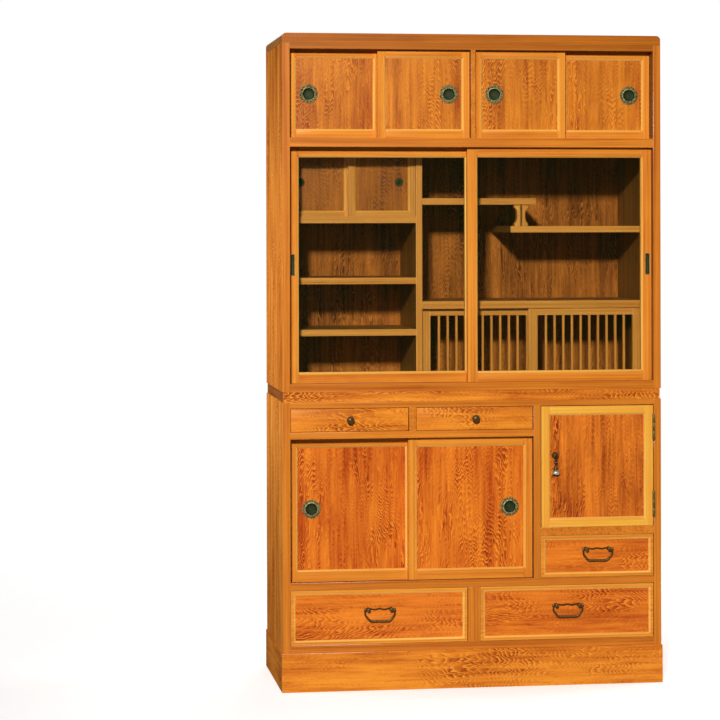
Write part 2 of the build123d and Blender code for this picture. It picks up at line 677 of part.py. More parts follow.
def save_cases():
    """Boards that stay still: plinth, both cases, the display and what guides the drawers."""
    front_track = (door_setback, door_thickness)
    inner_track = (inner_front, inner_door_thickness)

    bottom_board = shelf(case_left, case_right, lower_z, lower_floor)
    mid_board = cut_all(shelf(case_left, case_right, mid_z, mid_top),
                        track(case_left, partition_left, *front_track, mid_top, -sill_groove_depth))
    small_shelf = cut_all(shelf(case_left, partition_left, small_shelf_z, small_floor),
                          track(case_left, partition_left, *front_track, small_shelf_z, head_groove_depth))
    right_shelf = shelf(bay_left, case_right, right_shelf_z, right_floor)
    lower_top = shelf(case_left, case_right, lower_ceiling, waist_z)
    lower_back = make_back(lower_z, waist_z)

    partition = upright(partition_left, bay_left, mid_top, lower_ceiling)
    small_divider = upright(small_divider_left, small_divider_right, small_floor, lower_ceiling)
    drawer_post = board(post_left, post_right, 0, drawer_post_depth, lower_floor, mid_z)
    wall_left = (case_width - drawer_partition_thickness) / 2
    wall_right = wall_left + drawer_partition_thickness
    drawer_wall = upright(wall_left, wall_right, lower_floor, mid_z, drawer_post_depth)
    guides = [board(x0, x1, drawer_post_depth, back_y, lower_floor, lower_floor + guide_height)
              for x0, x1 in ((post_left, wall_left), (wall_right, post_right))]
    stop = board(bay_left, bay_left + door_stop_width, hinged_door_thickness + slide_gap,
                 hinged_door_thickness + slide_gap + door_stop_thickness, right_floor, lower_ceiling)

    bottom_board = bottom_board - drawer_wall
    mid_board = cut_all(mid_board, [drawer_wall, partition])
    small_shelf = small_shelf - small_divider
    lower_top = cut_all(lower_top, [partition, small_divider])
    partition = cut_all(partition, [small_shelf, right_shelf])

    case_leaves = make_case_leaves(right_floor + slide_gap, lower_ceiling - hinged_door_gap)
    housed = [bottom_board, mid_board, small_shelf, right_shelf, lower_top, lower_back, *case_leaves]
    save("plinth", make_plinth())
    save("lower_sides", [make_side(0, lower_z, waist_z, housed), make_side(case_right, lower_z, waist_z, housed)])
    save("lower_bottom_board", [bottom_board])
    save("lower_mid_board", [mid_board])
    save("lower_top_board", [lower_top])
    save("lower_partition", [partition])
    save("lower_shelves", [small_shelf, right_shelf])
    save("drawer_dividers", [small_divider, drawer_post, drawer_wall])
    save("guides_and_stops", [*guides, stop])
    save("case_hinge_leaves", case_leaves)
    save("waist_band", make_waist_band())

    upper_bottom = cut_all(shelf(case_left, case_right, upper_z, upper_floor),
                           track(case_left, case_right, *front_track, upper_floor, -sill_groove_depth)
                           + track(divider_right, case_right, *inner_track, upper_floor, -sill_groove_depth))
    upper_mid = shelf(case_left, case_right, glass_ceiling, top_door_floor)
    grooves = track(case_left, case_right, *front_track, glass_ceiling, head_groove_depth)
    grooves += track(case_left, divider_left, *inner_track, glass_ceiling, head_groove_depth)
    head_rail = board(case_left, case_right, 0, head_rail_depth, head_z, top_board_z)
    for x0, x1 in ((case_left, upper_partition_left), (upper_partition_right, case_right)):
        grooves += track(x0, x1, *front_track, top_door_floor, -sill_groove_depth)
        head_rail = cut_all(head_rail, track(x0, x1, *front_track, head_z, head_groove_depth))
    upper_mid = cut_all(upper_mid, grooves)

    display_divider = upright(divider_left, divider_right, upper_floor, glass_ceiling, display_setback)
    upper_partition = (board(upper_partition_left, upper_partition_right, 0, back_y, top_door_floor, head_z)
                       + board(upper_partition_left, upper_partition_right, head_rail_depth, back_y, head_z, top_board_z))
    display_shelves = [shelf(case_left, divider_left, z, z + shelf_thickness, display_setback)
                       for z in (low_shelf_z, mid_shelf_z)]
    cupboard_board = cut_all(shelf(case_left, divider_left, cupboard_floor_z, cupboard_floor, display_setback),
                             track(case_left, divider_left, *inner_track, cupboard_floor, -sill_groove_depth))
    lattice_top = cut_all(shelf(divider_right, case_right, lattice_top_z, lattice_top_z + lattice_top_thickness,
                                display_setback),
                          track(divider_right, case_right, *inner_track, lattice_top_z, head_groove_depth))
    stagger_low = shelf(stagger_low_left, case_right, stagger_low_z, stagger_low_z + shelf_thickness, display_setback,
                        left_end=False)
    stagger_high = shelf(divider_right, stagger_high_right, stagger_high_z, stagger_high_z + shelf_thickness,
                         display_setback, right_end=False)
    inner_boards = [*display_shelves, cupboard_board, lattice_top, stagger_low, stagger_high]
    upper_bottom = upper_bottom - display_divider
    upper_mid = upper_mid - display_divider
    display_divider = cut_all(display_divider, inner_boards)
    upper_back = make_back(upper_z, top_board_z)
    housed = [upper_bottom, upper_mid, upper_back, *inner_boards]
    sides = []
    for x0 in (0, case_right):
        side = make_side(x0, upper_z, top_board_z, housed)
        for tenon in corner_tenons(x0):
            side = side + tenon
        sides.append(side)

    save("upper_sides", sides)
    save("upper_top_board", [make_top_board(), head_rail])
    save("upper_mid_board", [upper_mid])
    save("upper_bottom_board", [upper_bottom])
    save("upper_partitions", [upper_partition, display_divider])
    save("display_shelves", inner_boards)
    save("shelf_strut", [make_strut()])
    save("back_panels", [lower_back, upper_back])


def save_panelled_pair(names, x0, x1, floor, ceiling, overlap, track_at, stile, rail, infill_thickness, inset, pull):
    """A rear left and a front right sliding door with round pulls near their outer edges."""
    face_y, thickness = track_at
    for name, place, from_left in zip(names, door_places(x0, x1, overlap, face_y, thickness), (True, False)):
        pull_x = x0 + inset if from_left else x1 - inset
        door, cup = make_panelled_door(place, floor, ceiling, thickness, stile, rail, infill_thickness, pull_x, pull)
        save(name, door)
        save(name + "_pull", [cup])


def save_sliding_doors():
    """Top doors, glass doors, the inner doors of the display and the large lower doors."""
    round_sizes = (round_pull_radius, round_pull_dish_radius, round_pull_rim, round_pull_depth)
    small_sizes = (small_pull_radius, small_pull_dish_radius, small_pull_rim, small_pull_depth)
    front_track = (door_setback, door_thickness)
    inner_track = (inner_front, inner_door_thickness)

    save_panelled_pair(("top_door_1", "top_door_2"), case_left, upper_partition_left, top_door_floor, head_z,
                       top_door_overlap, front_track, top_door_stile, top_door_rail, panel_thickness,
                       top_pull_inset, round_sizes)
    right_pair = door_places(upper_partition_right, case_right, top_door_overlap, *front_track)
    (rear_x0, rear_x1, rear_y), (front_x0, front_x1, front_face) = right_pair
    shift = front_x0 - rear_x0
    mirrored = ((rear_x0, rear_x1, front_face, upper_partition_right + top_pull_inset),
                (rear_x0 + shift, rear_x1 + shift, rear_y, case_right - top_pull_inset))
    for name, (x0, x1, y0, pull_x) in zip(("top_door_3", "top_door_4"), mirrored):
        door, cup = make_panelled_door((x0, x1, y0), top_door_floor, head_z, door_thickness, top_door_stile,
                                       top_door_rail, panel_thickness, pull_x, round_sizes)
        save(name, door)
        save(name + "_pull", [cup])

    rear, front = door_places(case_left, case_right, glass_door_overlap, *front_track)
    pull_places = (case_left + slot_pull_inset, case_right - slot_pull_inset - slot_pull_width)
    for side, place, pull_x in zip(("left", "right"), (rear, front), pull_places):
        frame, pane, pull = make_glass_door(place, pull_x)
        save(f"glass_door_{side}_frame", frame)
        save(f"glass_door_{side}_pane", [pane])
        save(f"glass_door_{side}_pull", [pull])

    save_panelled_pair(("small_door_left", "small_door_right"), case_left, divider_left, cupboard_floor, glass_ceiling,
                       small_door_overlap, inner_track, small_door_stile, small_door_rail, inner_panel_thickness,
                       small_pull_inset, small_sizes)
    lattice_places = door_places(divider_right, case_right, lattice_overlap, *inner_track)
    for side, place in zip(("left", "right"), lattice_places):
        save(f"lattice_door_{side}", make_lattice_door(place))
    save_panelled_pair(("lower_door_left", "lower_door_right"), case_left, partition_left, mid_top, small_shelf_z,
                       lower_door_overlap, front_track, lower_door_stile, lower_door_rail, panel_thickness,
                       lower_pull_inset, round_sizes)


def save_hinged_door():
    """Hinged door of the lower case with its leaves, boss and drop."""
    x0, x1 = bay_left + hinged_door_gap, case_right - hinged_door_gap
    z0, z1 = right_floor + slide_gap, lower_ceiling - hinged_door_gap
    members, panel = make_framed_door(x0, x1, 0, z0, z1, hinged_door_thickness, hinged_door_stile, hinged_door_rail,
                                      panel_thickness)
    leaves = make_door_leaves(z0, z1)
    drop_x = x0 + hinged_door_stile + drop_from_frame
    drop_z = (z0 + z1) / 2 + drop_above_centre
    hole = rod_back(drop_x, 0, hinged_door_thickness, drop_z, knob_stem_radius + pull_play)
    save("hinged_door", [cut_all(member, leaves) for member in members] + [panel - hole])
    save("hinged_door_fittings", [*leaves, make_drop_boss(drop_x, bevel_depth, drop_z)])
    save("hinged_door_drop", [make_drop(drop_x, bevel_depth, drop_z)])


def save_drawers():
    """Small drawers with knobs, then the large drawers with bails."""
    small = (("small_drawer_left", case_left, small_divider_left),
             ("small_drawer_right", small_divider_right, partition_left))
    for name, x0, x1 in small:
        knob_x, knob_z = (x0 + x1) / 2, (small_floor + lower_ceiling) / 2
        hole = stem_hole(knob_x, drawer_setback, knob_z)
        save(name, make_drawer(x0, x1, small_floor, lower_ceiling, False, [hole]))
        save(name + "_knob", [make_knob(knob_x, knob_z)])

    large = (("right_drawer", bay_left, case_right, mid_top, right_shelf_z),
             ("bottom_drawer_left", case_left, post_left, lower_floor, mid_z),
             ("bottom_drawer_right", post_right, case_right, lower_floor, mid_z))
    for name, x0, x1, z0, z1 in large:
        pivot_z = bail_height(z0, z1)
        face = drawer_setback + drawer_field_depth
        holes = [stem_hole(x, face, pivot_z) for x in bail_post_places(x0, x1)]
        save(name, make_drawer(x0, x1, z0, z1, True, holes))
        save(name + "_posts", make_bail_posts(x0, x1, pivot_z))
        save(name + "_bail", [make_bail(x0, x1, pivot_z)])


os.makedirs("parts", exist_ok=True)
save_cases()
save_sliding_doors()
save_hinged_door()
save_drawers()
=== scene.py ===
"""Finish of a two-stage mizuya kitchen cabinet: lacquered cedar, clear panes and patinated fittings.

Metres.  +X is to the right of someone facing the cabinet, +Y runs from its front to its back and
+Z is up, with the origin under its middle at floor level.
"""

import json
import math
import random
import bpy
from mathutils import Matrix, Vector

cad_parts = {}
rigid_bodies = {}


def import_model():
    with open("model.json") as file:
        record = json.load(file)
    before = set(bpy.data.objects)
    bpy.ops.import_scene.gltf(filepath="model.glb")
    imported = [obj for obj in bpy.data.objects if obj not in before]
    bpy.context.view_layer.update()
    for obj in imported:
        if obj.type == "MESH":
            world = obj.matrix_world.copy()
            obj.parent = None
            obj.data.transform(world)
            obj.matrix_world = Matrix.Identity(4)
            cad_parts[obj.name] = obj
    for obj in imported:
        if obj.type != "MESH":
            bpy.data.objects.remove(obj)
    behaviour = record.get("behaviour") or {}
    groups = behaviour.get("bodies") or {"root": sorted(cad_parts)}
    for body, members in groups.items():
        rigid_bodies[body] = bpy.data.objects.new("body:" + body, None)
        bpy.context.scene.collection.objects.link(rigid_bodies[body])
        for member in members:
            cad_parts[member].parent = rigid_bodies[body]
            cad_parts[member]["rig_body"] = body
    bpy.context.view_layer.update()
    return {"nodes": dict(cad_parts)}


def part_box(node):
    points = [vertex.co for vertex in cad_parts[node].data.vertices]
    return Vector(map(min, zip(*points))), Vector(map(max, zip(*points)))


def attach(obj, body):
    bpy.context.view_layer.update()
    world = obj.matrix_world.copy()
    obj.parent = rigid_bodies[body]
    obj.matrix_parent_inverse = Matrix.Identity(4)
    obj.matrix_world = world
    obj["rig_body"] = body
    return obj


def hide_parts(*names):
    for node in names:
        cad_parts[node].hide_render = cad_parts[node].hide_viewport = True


bl_info = {
    "name": "Mizuya Cabinet Finish",
    "version": (1, 0, 0),
    "blender": (4, 5, 0),
    "location": "3D View > Sidebar > Cabinet",
    "description": "Dresses a two-stage mizuya cabinet in lacquered cedar with glass and patinated fittings",
    "category": "Object",
}

import bmesh
import bpy
from bpy.props import FloatProperty, FloatVectorProperty, IntProperty, PointerProperty
from mathutils import Matrix, Vector

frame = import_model()

MICRON = 1e6           # steps to a metre that places are rounded to
FLAT_ANGLE = 0.5       # degrees up to which faces beside each other count as one flat face
ARRIS_ANGLE = 30       # degrees over which an edge is an arris to be eased
WOOD_CREASE = 20       # degrees over which an edge of the wood is shaded sharp
METAL_CREASE = 35      # the same for the metal
FACING = 0.9           # least part of a face's normal along the axis that the face looks along
LEANING = 0.3          # the same for a face that only leans that way
UPRIGHT = 2            # number of the axis that upright grain runs along
TOP_DOORS_Z = 1.4      # height that parts the display from the top doors
FRAME_MEMBERS = 4      # stiles and rails, which come first among a door's boards
HINGES = 2             # leaves of the hinged door, which come first among their fittings


# Sizes and colours

def shade(red, green, blue):
    """Linear colour of three screen values from 0 to 255."""
    def linear(value):
        value /= 255
        return value / 12.92 if value <= 0.04045 else ((value + 0.055) / 1.055) ** 2.4
    return linear(red), linear(green), linear(blue)


def colour(name, description, *screen):
    """Colour property given by its screen values."""
    return FloatVectorProperty(name=name, description=description, subtype="COLOR", size=3, min=0, max=1,
                               default=shade(*screen))


def plain(name, description, default, **more):
    """Plain number."""
    return FloatProperty(name=name, description=description, default=default, **more)


def length(name, description, default):
    """Length in metres."""
    return plain(name, description, default, min=0, unit="LENGTH", precision=4)


def share(name, description, default):
    """Number from 0 to 1."""
    return plain(name, description, default, min=0, max=1, subtype="FACTOR")


def angle(name, description, degrees):
    """Angle given in degrees."""
    return plain(name, description, math.radians(degrees), subtype="ANGLE")


def power(name, description, default):
    """Power of a lamp in watts."""
    return plain(name, description, default, min=0, unit="POWER")


def stand(name, description, x, y, z):
    """Place that the camera or a lamp stands at."""
    return FloatVectorProperty(name=name, description=description, subtype="XYZ", unit="LENGTH", size=3,
                               default=(x, y, z))


def how_many(name, description, default, least, most):
    """Number of like pieces."""
    return IntProperty(name=name, description=description, default=default, min=least, max=most)


class CedarSettings(bpy.types.PropertyGroup):
    """Colours and workmanship of the cedar."""
    case_pale: colour("Case Pale", "Early wood of the case boards", 225, 132, 39)
    case_deep: colour("Case Deep", "Late wood of the case boards", 180, 86, 19)
    frame_pale: colour("Door Frame Pale", "Early wood of the door frames", 244, 152, 50)
    frame_deep: colour("Door Frame Deep", "Late wood of the door frames", 206, 106, 29)
    hinged_pale: colour("Hinged Frame Pale", "Early wood of the hinged door's frame", 255, 186, 68)
    hinged_deep: colour("Hinged Frame Deep", "Late wood of the hinged door's frame", 244, 149, 46)
    shelf_pale: colour("Shelf Pale", "Early wood of the display's shelves and inner doors", 236, 154, 66)
    shelf_deep: colour("Shelf Deep", "Late wood of the display's shelves and inner doors", 200, 119, 41)
    inner_panel_pale: colour("Inner Panel Pale", "Early wood of the small doors' panels", 189, 105, 26)
    inner_panel_deep: colour("Inner Panel Deep", "Late wood of the small doors' panels", 125, 59, 9)
    upper_panel_pale: colour("Top Panel Pale", "Early wood of the top door panels", 232, 137, 39)
    upper_panel_deep: colour("Top Panel Deep", "Late wood of the top door panels", 165, 76, 15)
    lower_panel_pale: colour("Lower Panel Pale", "Early wood of the lower door panels", 250, 137, 37)
    lower_panel_deep: colour("Lower Panel Deep", "Late wood of the lower door panels", 190, 75, 15)
    plinth_pale: colour("Plinth Pale", "Early wood of the plinth and the small drawers", 252, 150, 44)
    plinth_deep: colour("Plinth Deep", "Late wood of the plinth and the small drawers", 184, 82, 16)
    drawer_pale: colour("Drawer Pale", "Early wood of the large drawers' fields", 246, 133, 38)
    drawer_deep: colour("Drawer Deep", "Late wood of the large drawers' fields", 180, 72, 13)
    top_pale: colour("Top Board Pale", "Early wood of the top board", 192, 107, 26)
    top_deep: colour("Top Board Deep", "Late wood of the top board", 153, 76, 14)
    # The bevel colours are paler than the frames' so that the inner bevels show a painted highlight.
    bevel_pale: colour("Bevel Pale", "Early wood of the doors' inner bevels", 255, 190, 92)
    bevel_deep: colour("Bevel Deep", "Late wood of the doors' inner bevels", 232, 148, 56)
    inner_bevel_pale: colour("Inner Bevel Pale", "Early wood of the small doors' bevels", 255, 187, 86)
    inner_bevel_deep: colour("Inner Bevel Deep", "Late wood of the small doors' bevels", 234, 143, 53)
    side_pale: colour("Side Pale", "Early wood of the cases' sides", 231, 147, 60)
    side_deep: colour("Side Deep", "Late wood of the cases' sides", 171, 85, 26)
    # The inside colours are darker than the rest to paint the shade inside the cases and under boards.
    inside_pale: colour("Inside Pale", "Early wood of the boards inside the cases", 150, 92, 36)
    inside_deep: colour("Inside Deep", "Late wood of the boards inside the cases", 92, 50, 14)
    inner_back_pale: colour("Inner Back Pale", "Early wood of the back panels' inner sides", 200, 114, 43)
    inner_back_deep: colour("Inner Back Deep", "Late wood of the back panels' inner sides", 107, 51, 14)
    hinged_panel_pale: colour("Hinged Panel Pale", "Early wood of the hinged door's panel", 240, 130, 38)
    hinged_panel_deep: colour("Hinged Panel Deep", "Late wood of the hinged door's panel", 150, 56, 12)
    back_pale: colour("Back Pale", "Early wood of the back panels", 165, 92, 31)
    back_deep: colour("Back Deep", "Late wood of the back panels", 99, 47, 12)
    hidden_pale: colour("Drawer Box Pale", "Early wood of drawer boxes and guides", 222, 178, 122)
    hidden_deep: colour("Drawer Box Deep", "Late wood of drawer boxes and guides", 186, 132, 78)
    eased_edge: length("Eased Edge", "Width that each board's arrises are eased by", 0.0006)
    ring_spacing: length("Ring Spacing", "Distance between growth rings on a straight-grained board", 0.0034)
    flame_spacing: length("Flame Spacing", "Distance between growth rings on a figured board", 0.0062)
    lacquer: share("Lacquer", "Weight of the clear lacquer", 0.25)
    lacquer_roughness: share("Lacquer Roughness", "Roughness of the clear lacquer", 0.22)


class FittingSettings(bpy.types.PropertyGroup):
    """Colours and small sizes of the metal fittings and the glass."""
    pull_colour: colour("Pull Patina", "Dark patina of the door pulls", 36, 52, 27)
    pull_worn: colour("Pull Worn Metal", "Rubbed metal on the large pulls and the slot pulls", 186, 162, 108)
    bail_colour: colour("Bail Patina", "Dark patina of the bails, the knobs and the drop", 82, 57, 24)
    bail_worn: colour("Bail Worn Metal", "Rubbed metal on the bails, knobs and small pulls", 142, 116, 66)
    drop_worn: colour("Drop Worn Metal", "Bright rubbed metal on the drop's bell", 214, 220, 198)
    hinge_colour: colour("Hinge Patina", "Darkened brass of the hinges and nails", 92, 70, 22)
    hinge_worn: colour("Hinge Worn Metal", "Rubbed brass of the hinges and nails", 132, 108, 58)
    glass_colour: colour("Glass", "Tint of the panes", 243, 247, 242)
    pull_petals: how_many("Pull Petals", "Petals round a small pull, half as many as round a large one",
                          16, 6, 32)
    pull_scallops: how_many("Pull Scallops", "Scallops round a pull's edge", 20, 6, 40)
    screw_radius: length("Screw Radius", "Radius of a hinge screw's head", 0.0026)
    screw_height: length("Screw Height", "Height of a hinge screw's head, half of it in its leaf", 0.0008)
    nail_radius: length("Nail Radius", "Radius of a nail head in the backs", 0.0022)
    nail_pitch: length("Nail Pitch", "Distance between nails along the backs' edges", 0.09)


class StageSettings(bpy.types.PropertyGroup):
    """Camera, lamps and floor."""
    camera_place: stand("Camera Place", "Where the camera stands", -1.2641, -6.7900, 1.2726)
    camera_yaw: angle("Camera Yaw", "Turn of the camera to the right of straight ahead", 7.985)
    camera_roll: angle("Camera Roll", "Tilt of the camera about its own axis", -0.11)
    camera_lens: plain("Camera Lens", "Focal length in millimetres", 121.59, subtype="DISTANCE_CAMERA")
    shift_x: plain("Shift Across", "Sideways shift of the frame", 0.0119)
    shift_y: plain("Shift Up", "Upward shift of the frame", -0.1863)
    floor_colour: colour("Floor", "Colour that the floor throws back on the cabinet", 172, 172, 170)
    floor_seen: colour("Floor Seen", "Colour of the floor as the camera sees it", 247, 247, 246)
    key_place: stand("Key Lamp Place", "Where the main lamp stands", -2.25, -8.32, 3.8)
    key_size: length("Key Lamp Size", "Width of the main lamp", 0.52)
    key_power: power("Key Lamp Power", "Power of the main lamp", 720)
    left_power: power("Left Lamp Power", "Power of the soft lamp on the left", 7)
    top_power: power("Top Lamp Power", "Power of the soft lamp above the front", 8)
    right_power: power("Right Lamp Power", "Power of the soft lamp on the right", 62)
    back_power: power("Back Lamp Power", "Power of the soft lamp behind the cabinet", 110)
    room_light: plain("Room Light", "Brightness of the light from all round", 0.02)
    floor_glow: plain("Floor Glow", "White that the floor shows the camera over its own light", 0.42)


# Node trees

def add(tree, kind, inputs=(), **settings):
    """New node; inputs pairs a socket's name or number with a value or with the socket that feeds it."""
    node = tree.nodes.new(kind)
    for name, value in settings.items():
        setattr(node, name, value)
    for key, value in dict(inputs).items():
        if isinstance(value, bpy.types.NodeSocket):
            tree.links.new(value, node.inputs[key])
        else:
            node.inputs[key].default_value = value
    return node


def result(tree, kind, inputs=(), **settings):
    """First output of a new node."""
    return add(tree, kind, inputs, **settings).outputs[0]


def calc(tree, operation, first, second=0.0, third=0.0):
    """Output of a Math node."""
    return result(tree, "ShaderNodeMath", {0: first, 1: second, 2: third}, operation=operation)


def noise(tree, vector, scale, detail=2.0, rough=0.5):
    """Noise from 0 to 1, with its own scale along, across and through the grain."""
    scaled = result(tree, "ShaderNodeVectorMath", {0: vector, 1: scale}, operation="MULTIPLY")
    inputs = {"Vector": scaled, "Scale": 1.0, "Detail": detail, "Roughness": rough}
    return add(tree, "ShaderNodeTexNoise", inputs).outputs["Fac"]


def centred_noise(tree, vector, scale, detail=2.0, rough=0.5):
    """Noise from -0.5 to 0.5."""
    return calc(tree, "SUBTRACT", noise(tree, vector, scale, detail, rough), 0.5)


def spread(tree, value, low, high):
    """Value with the span from low to high stretched to 0 to 1, smoothly."""
    return result(tree, "ShaderNodeMapRange", {"Value": value, "From Min": low, "From Max": high},
                  interpolation_type="SMOOTHSTEP")


def blend(tree, factor, first, second):
    """Colour between two others."""
    node = add(tree, "ShaderNodeMix", data_type="RGBA")
    for socket, value in ((node.inputs[0], factor), (node.inputs[6], first), (node.inputs[7], second)):
        if isinstance(value, bpy.types.NodeSocket):
            tree.links.new(value, socket)
        else:
            socket.default_value = value if socket == node.inputs[0] else (*value[:3], 1.0)
    return node.outputs[2]


def new_material(name):
    """Empty material with its Principled shader: (material, tree, shader)."""
    material = bpy.data.materials.new(name)
    material.use_nodes = True
    tree = material.node_tree
    shader = tree.nodes["Principled BSDF"]
    return material, tree, shader


# Cedar

def grain_parts(tree):
    """Place on the board, the same moved to the board's own stretch of noise, and the board's tone."""
    place = add(tree, "ShaderNodeAttribute", attribute_name="grain").outputs["Vector"]
    tone = add(tree, "ShaderNodeAttribute", attribute_name="tone").outputs["Fac"]
    shift = add(tree, "ShaderNodeCombineXYZ", {0: calc(tree, "MULTIPLY", tone, 47.0),
                                               1: calc(tree, "MULTIPLY", tone, 31.0), 2: tone})
    own = add(tree, "ShaderNodeVectorMath", {0: place, 1: shift.outputs[0]}, operation="ADD").outputs[0]
    return place, own, tone


def straight_rings(tree, place, own, spacing):
    """Ring number over a straight-grained board: close lines that wander a little."""
    parts = add(tree, "ShaderNodeSeparateXYZ", {0: place})
    across = calc(tree, "MULTIPLY_ADD", parts.outputs[2], 0.8, parts.outputs[1])
    wander = calc(tree, "MULTIPLY", noise(tree, own, (1.1, 9, 9)), 6.0)
    ripple = calc(tree, "MULTIPLY", noise(tree, own, (9, 60, 60)), 0.6)
    rings = calc(tree, "DIVIDE", across, spacing)
    return calc(tree, "ADD", calc(tree, "ADD", rings, wander), ripple)


def arch_rings(tree, place, own, spacing, swirl, points):
    """Ring number over a figured board: nested arches that swirl and carry small bamboo-leaf points."""
    parts = add(tree, "ShaderNodeSeparateXYZ", {0: place})
    drift = calc(tree, "MULTIPLY", centred_noise(tree, own, (1.6, 0.8, 0.8)), 0.36)
    side = calc(tree, "SUBTRACT", parts.outputs[1], drift)
    pith = calc(tree, "MULTIPLY_ADD", parts.outputs[0], 0.42, 0.11)
    reach = calc(tree, "ADD", calc(tree, "MULTIPLY", side, side), calc(tree, "MULTIPLY", pith, pith))
    rings = calc(tree, "DIVIDE", calc(tree, "SQRT", reach), spacing)
    swell = calc(tree, "MULTIPLY", noise(tree, own, (5, 14, 14), 2.5), swirl)
    bent = calc(tree, "MULTIPLY_ADD", noise(tree, own, (9, 22, 22)), 0.045, parts.outputs[1])
    leaf_reach = calc(tree, "MULTIPLY", noise(tree, own, (7, 14, 14)), 210 * points)
    leaf = calc(tree, "MULTIPLY", calc(tree, "PINGPONG", bent, 0.0085), leaf_reach)
    jitter = calc(tree, "MULTIPLY", noise(tree, own, (44, 125, 125), 3.0, 0.62), 2.2 * points)
    return calc(tree, "ADD", calc(tree, "ADD", rings, swell), calc(tree, "ADD", leaf, jitter))


FIGURES = {
    "straight": straight_rings,
    "flame": lambda *parts: arch_rings(*parts, swirl=6.0, points=1.0),
    "burl": lambda *parts: arch_rings(*parts, swirl=13.0, points=0.8),
}
DEPTH_SPAN = (-0.35, 1.25)    # depths of the wood's colour: pale is 0, deep is 1
# How far each layer of the grain darkens a straight-grained board, and how far a figured one.
LAYERS = {
    "glint": (-0.2, -1.1),
    "columns": (1.2, 2.0),
    "blotches": (0.4, 1.5),
    "streaks": (2.2, 1.4),
    "flecks": (0.1, 0.3),
    "fibre": (0.3, 0.3),
    "tone": (0.24, 0.24),
}


def grain_depth(tree, place, grain, tone, figure, strength):
    """Depth of the wood's colour, its late wood and its fibre.

    Each growth ring darkens to its late wood and starts with a pale glint. Columns, blotches,
    streaks and flecks lie over the rings, and every board has its own tone.
    """
    wood = bpy.context.scene.cedar
    figured = figure != "straight"
    spacing = wood.flame_spacing if figured else wood.ring_spacing
    phase = calc(tree, "FRACT", FIGURES[figure](tree, place, grain, spacing))
    late = calc(tree, "MULTIPLY", spread(tree, phase, 0.3, 0.82), spread(tree, phase, 1.0, 0.88))
    glint = calc(tree, "MULTIPLY", spread(tree, phase, 0.3, 0.08), spread(tree, phase, 0.0, 0.06))
    crests = spread(tree, noise(tree, grain, (4, 12, 12)), 0.44, 0.66)
    breaks = spread(tree, noise(tree, grain, (15, 48, 48), 1.0), 0.36, 0.6)
    shown = calc(tree, "MULTIPLY", calc(tree, "MULTIPLY_ADD", crests, 0.75, 0.25),
                 calc(tree, "MULTIPLY_ADD", breaks, 0.65, 0.35))
    fibre = noise(tree, grain, (26, 900, 900))
    along, across = (9, 150) if figured else (1.5, 170)
    layers = {
        "glint": calc(tree, "MULTIPLY", glint, shown),
        "columns": centred_noise(tree, grain, (1.4, 30, 30), 3.0, 0.6),
        "blotches": centred_noise(tree, grain, (4.5, 13, 13), 3.0),
        "streaks": centred_noise(tree, grain, (along, across, across), 3.0, 0.6),
        "flecks": spread(tree, noise(tree, grain, (50, 240, 240), 1.0), 0.62, 0.78),
        "fibre": calc(tree, "SUBTRACT", fibre, 0.5),
        "tone": calc(tree, "SUBTRACT", tone, 0.5),
    }
    least = 0.36 if figured else 0.2
    depth = calc(tree, "MULTIPLY_ADD", calc(tree, "MULTIPLY", late, shown), strength, least)
    for name, layer in layers.items():
        straight_weight, figured_weight = LAYERS[name]
        depth = calc(tree, "MULTIPLY_ADD", layer, figured_weight if figured else straight_weight, depth)
    lowest, highest = DEPTH_SPAN
    return calc(tree, "MINIMUM", calc(tree, "MAXIMUM", depth, lowest), highest), late, fibre


def cedar(name, pale, deep, figure, strength, coat):
    """Lacquered cedar whose arrises are rubbed paler; coat is the share of the full lacquer on it."""
    wood = bpy.context.scene.cedar
    material, tree, shader = new_material(name)
    place, grain, tone = grain_parts(tree)
    depth, late, fibre = grain_depth(tree, place, grain, tone, figure, strength)
    body = ramp_between(tree, depth, pale, deep)
    rubbed = add(tree, "ShaderNodeAttribute", attribute_name="arris").outputs["Fac"]
    worn = calc(tree, "MULTIPLY", rubbed, spread(tree, noise(tree, grain, (9, 40, 40)), 0.35, 0.6))
    body = blend(tree, calc(tree, "MULTIPLY", worn, 0.35), body, [min(1, c * 1.25) for c in pale])
    tree.links.new(body, shader.inputs["Base Color"])
    rough = calc(tree, "MULTIPLY_ADD", fibre, 0.12, 0.45 - 0.25 * coat)
    tree.links.new(calc(tree, "MULTIPLY_ADD", late, 0.06, rough), shader.inputs["Roughness"])
    shader.inputs["Coat Weight"].default_value = wood.lacquer * coat
    shader.inputs["Coat Roughness"].default_value = wood.lacquer_roughness
    shader.inputs["Specular IOR Level"].default_value = 0.25 * coat
    relief = calc(tree, "MULTIPLY_ADD", late, 0.6, calc(tree, "MULTIPLY", fibre, 0.4))
    bump = result(tree, "ShaderNodeBump", {"Height": relief, "Strength": 0.25, "Distance": 0.0004})
    tree.links.new(bump, shader.inputs["Normal"])
    return material


def ramp_between(tree, depth, pale, deep):
    """Colour that is pale at depth 0 and deep at 1, and runs a little past them on either side."""
    lowest, highest = DEPTH_SPAN
    scale = 1 / (highest - lowest)
    lighter = [min(1, c * 1.22) for c in pale]
    darker = [c * 0.62 for c in deep]
    ramp = add(tree, "ShaderNodeValToRGB", {0: calc(tree, "MULTIPLY_ADD", depth, scale, -lowest * scale)})
    stops = ramp.color_ramp.elements
    stops[0].position, stops[0].color = 0.0, (*lighter, 1)
    stops[1].position, stops[1].color = 1.0, (*darker, 1)
    for at, tint in ((0, pale), (1, deep)):
        stops.new((at - lowest) * scale).color = (*tint, 1)
    return ramp.outputs[0]


# Metal and glass

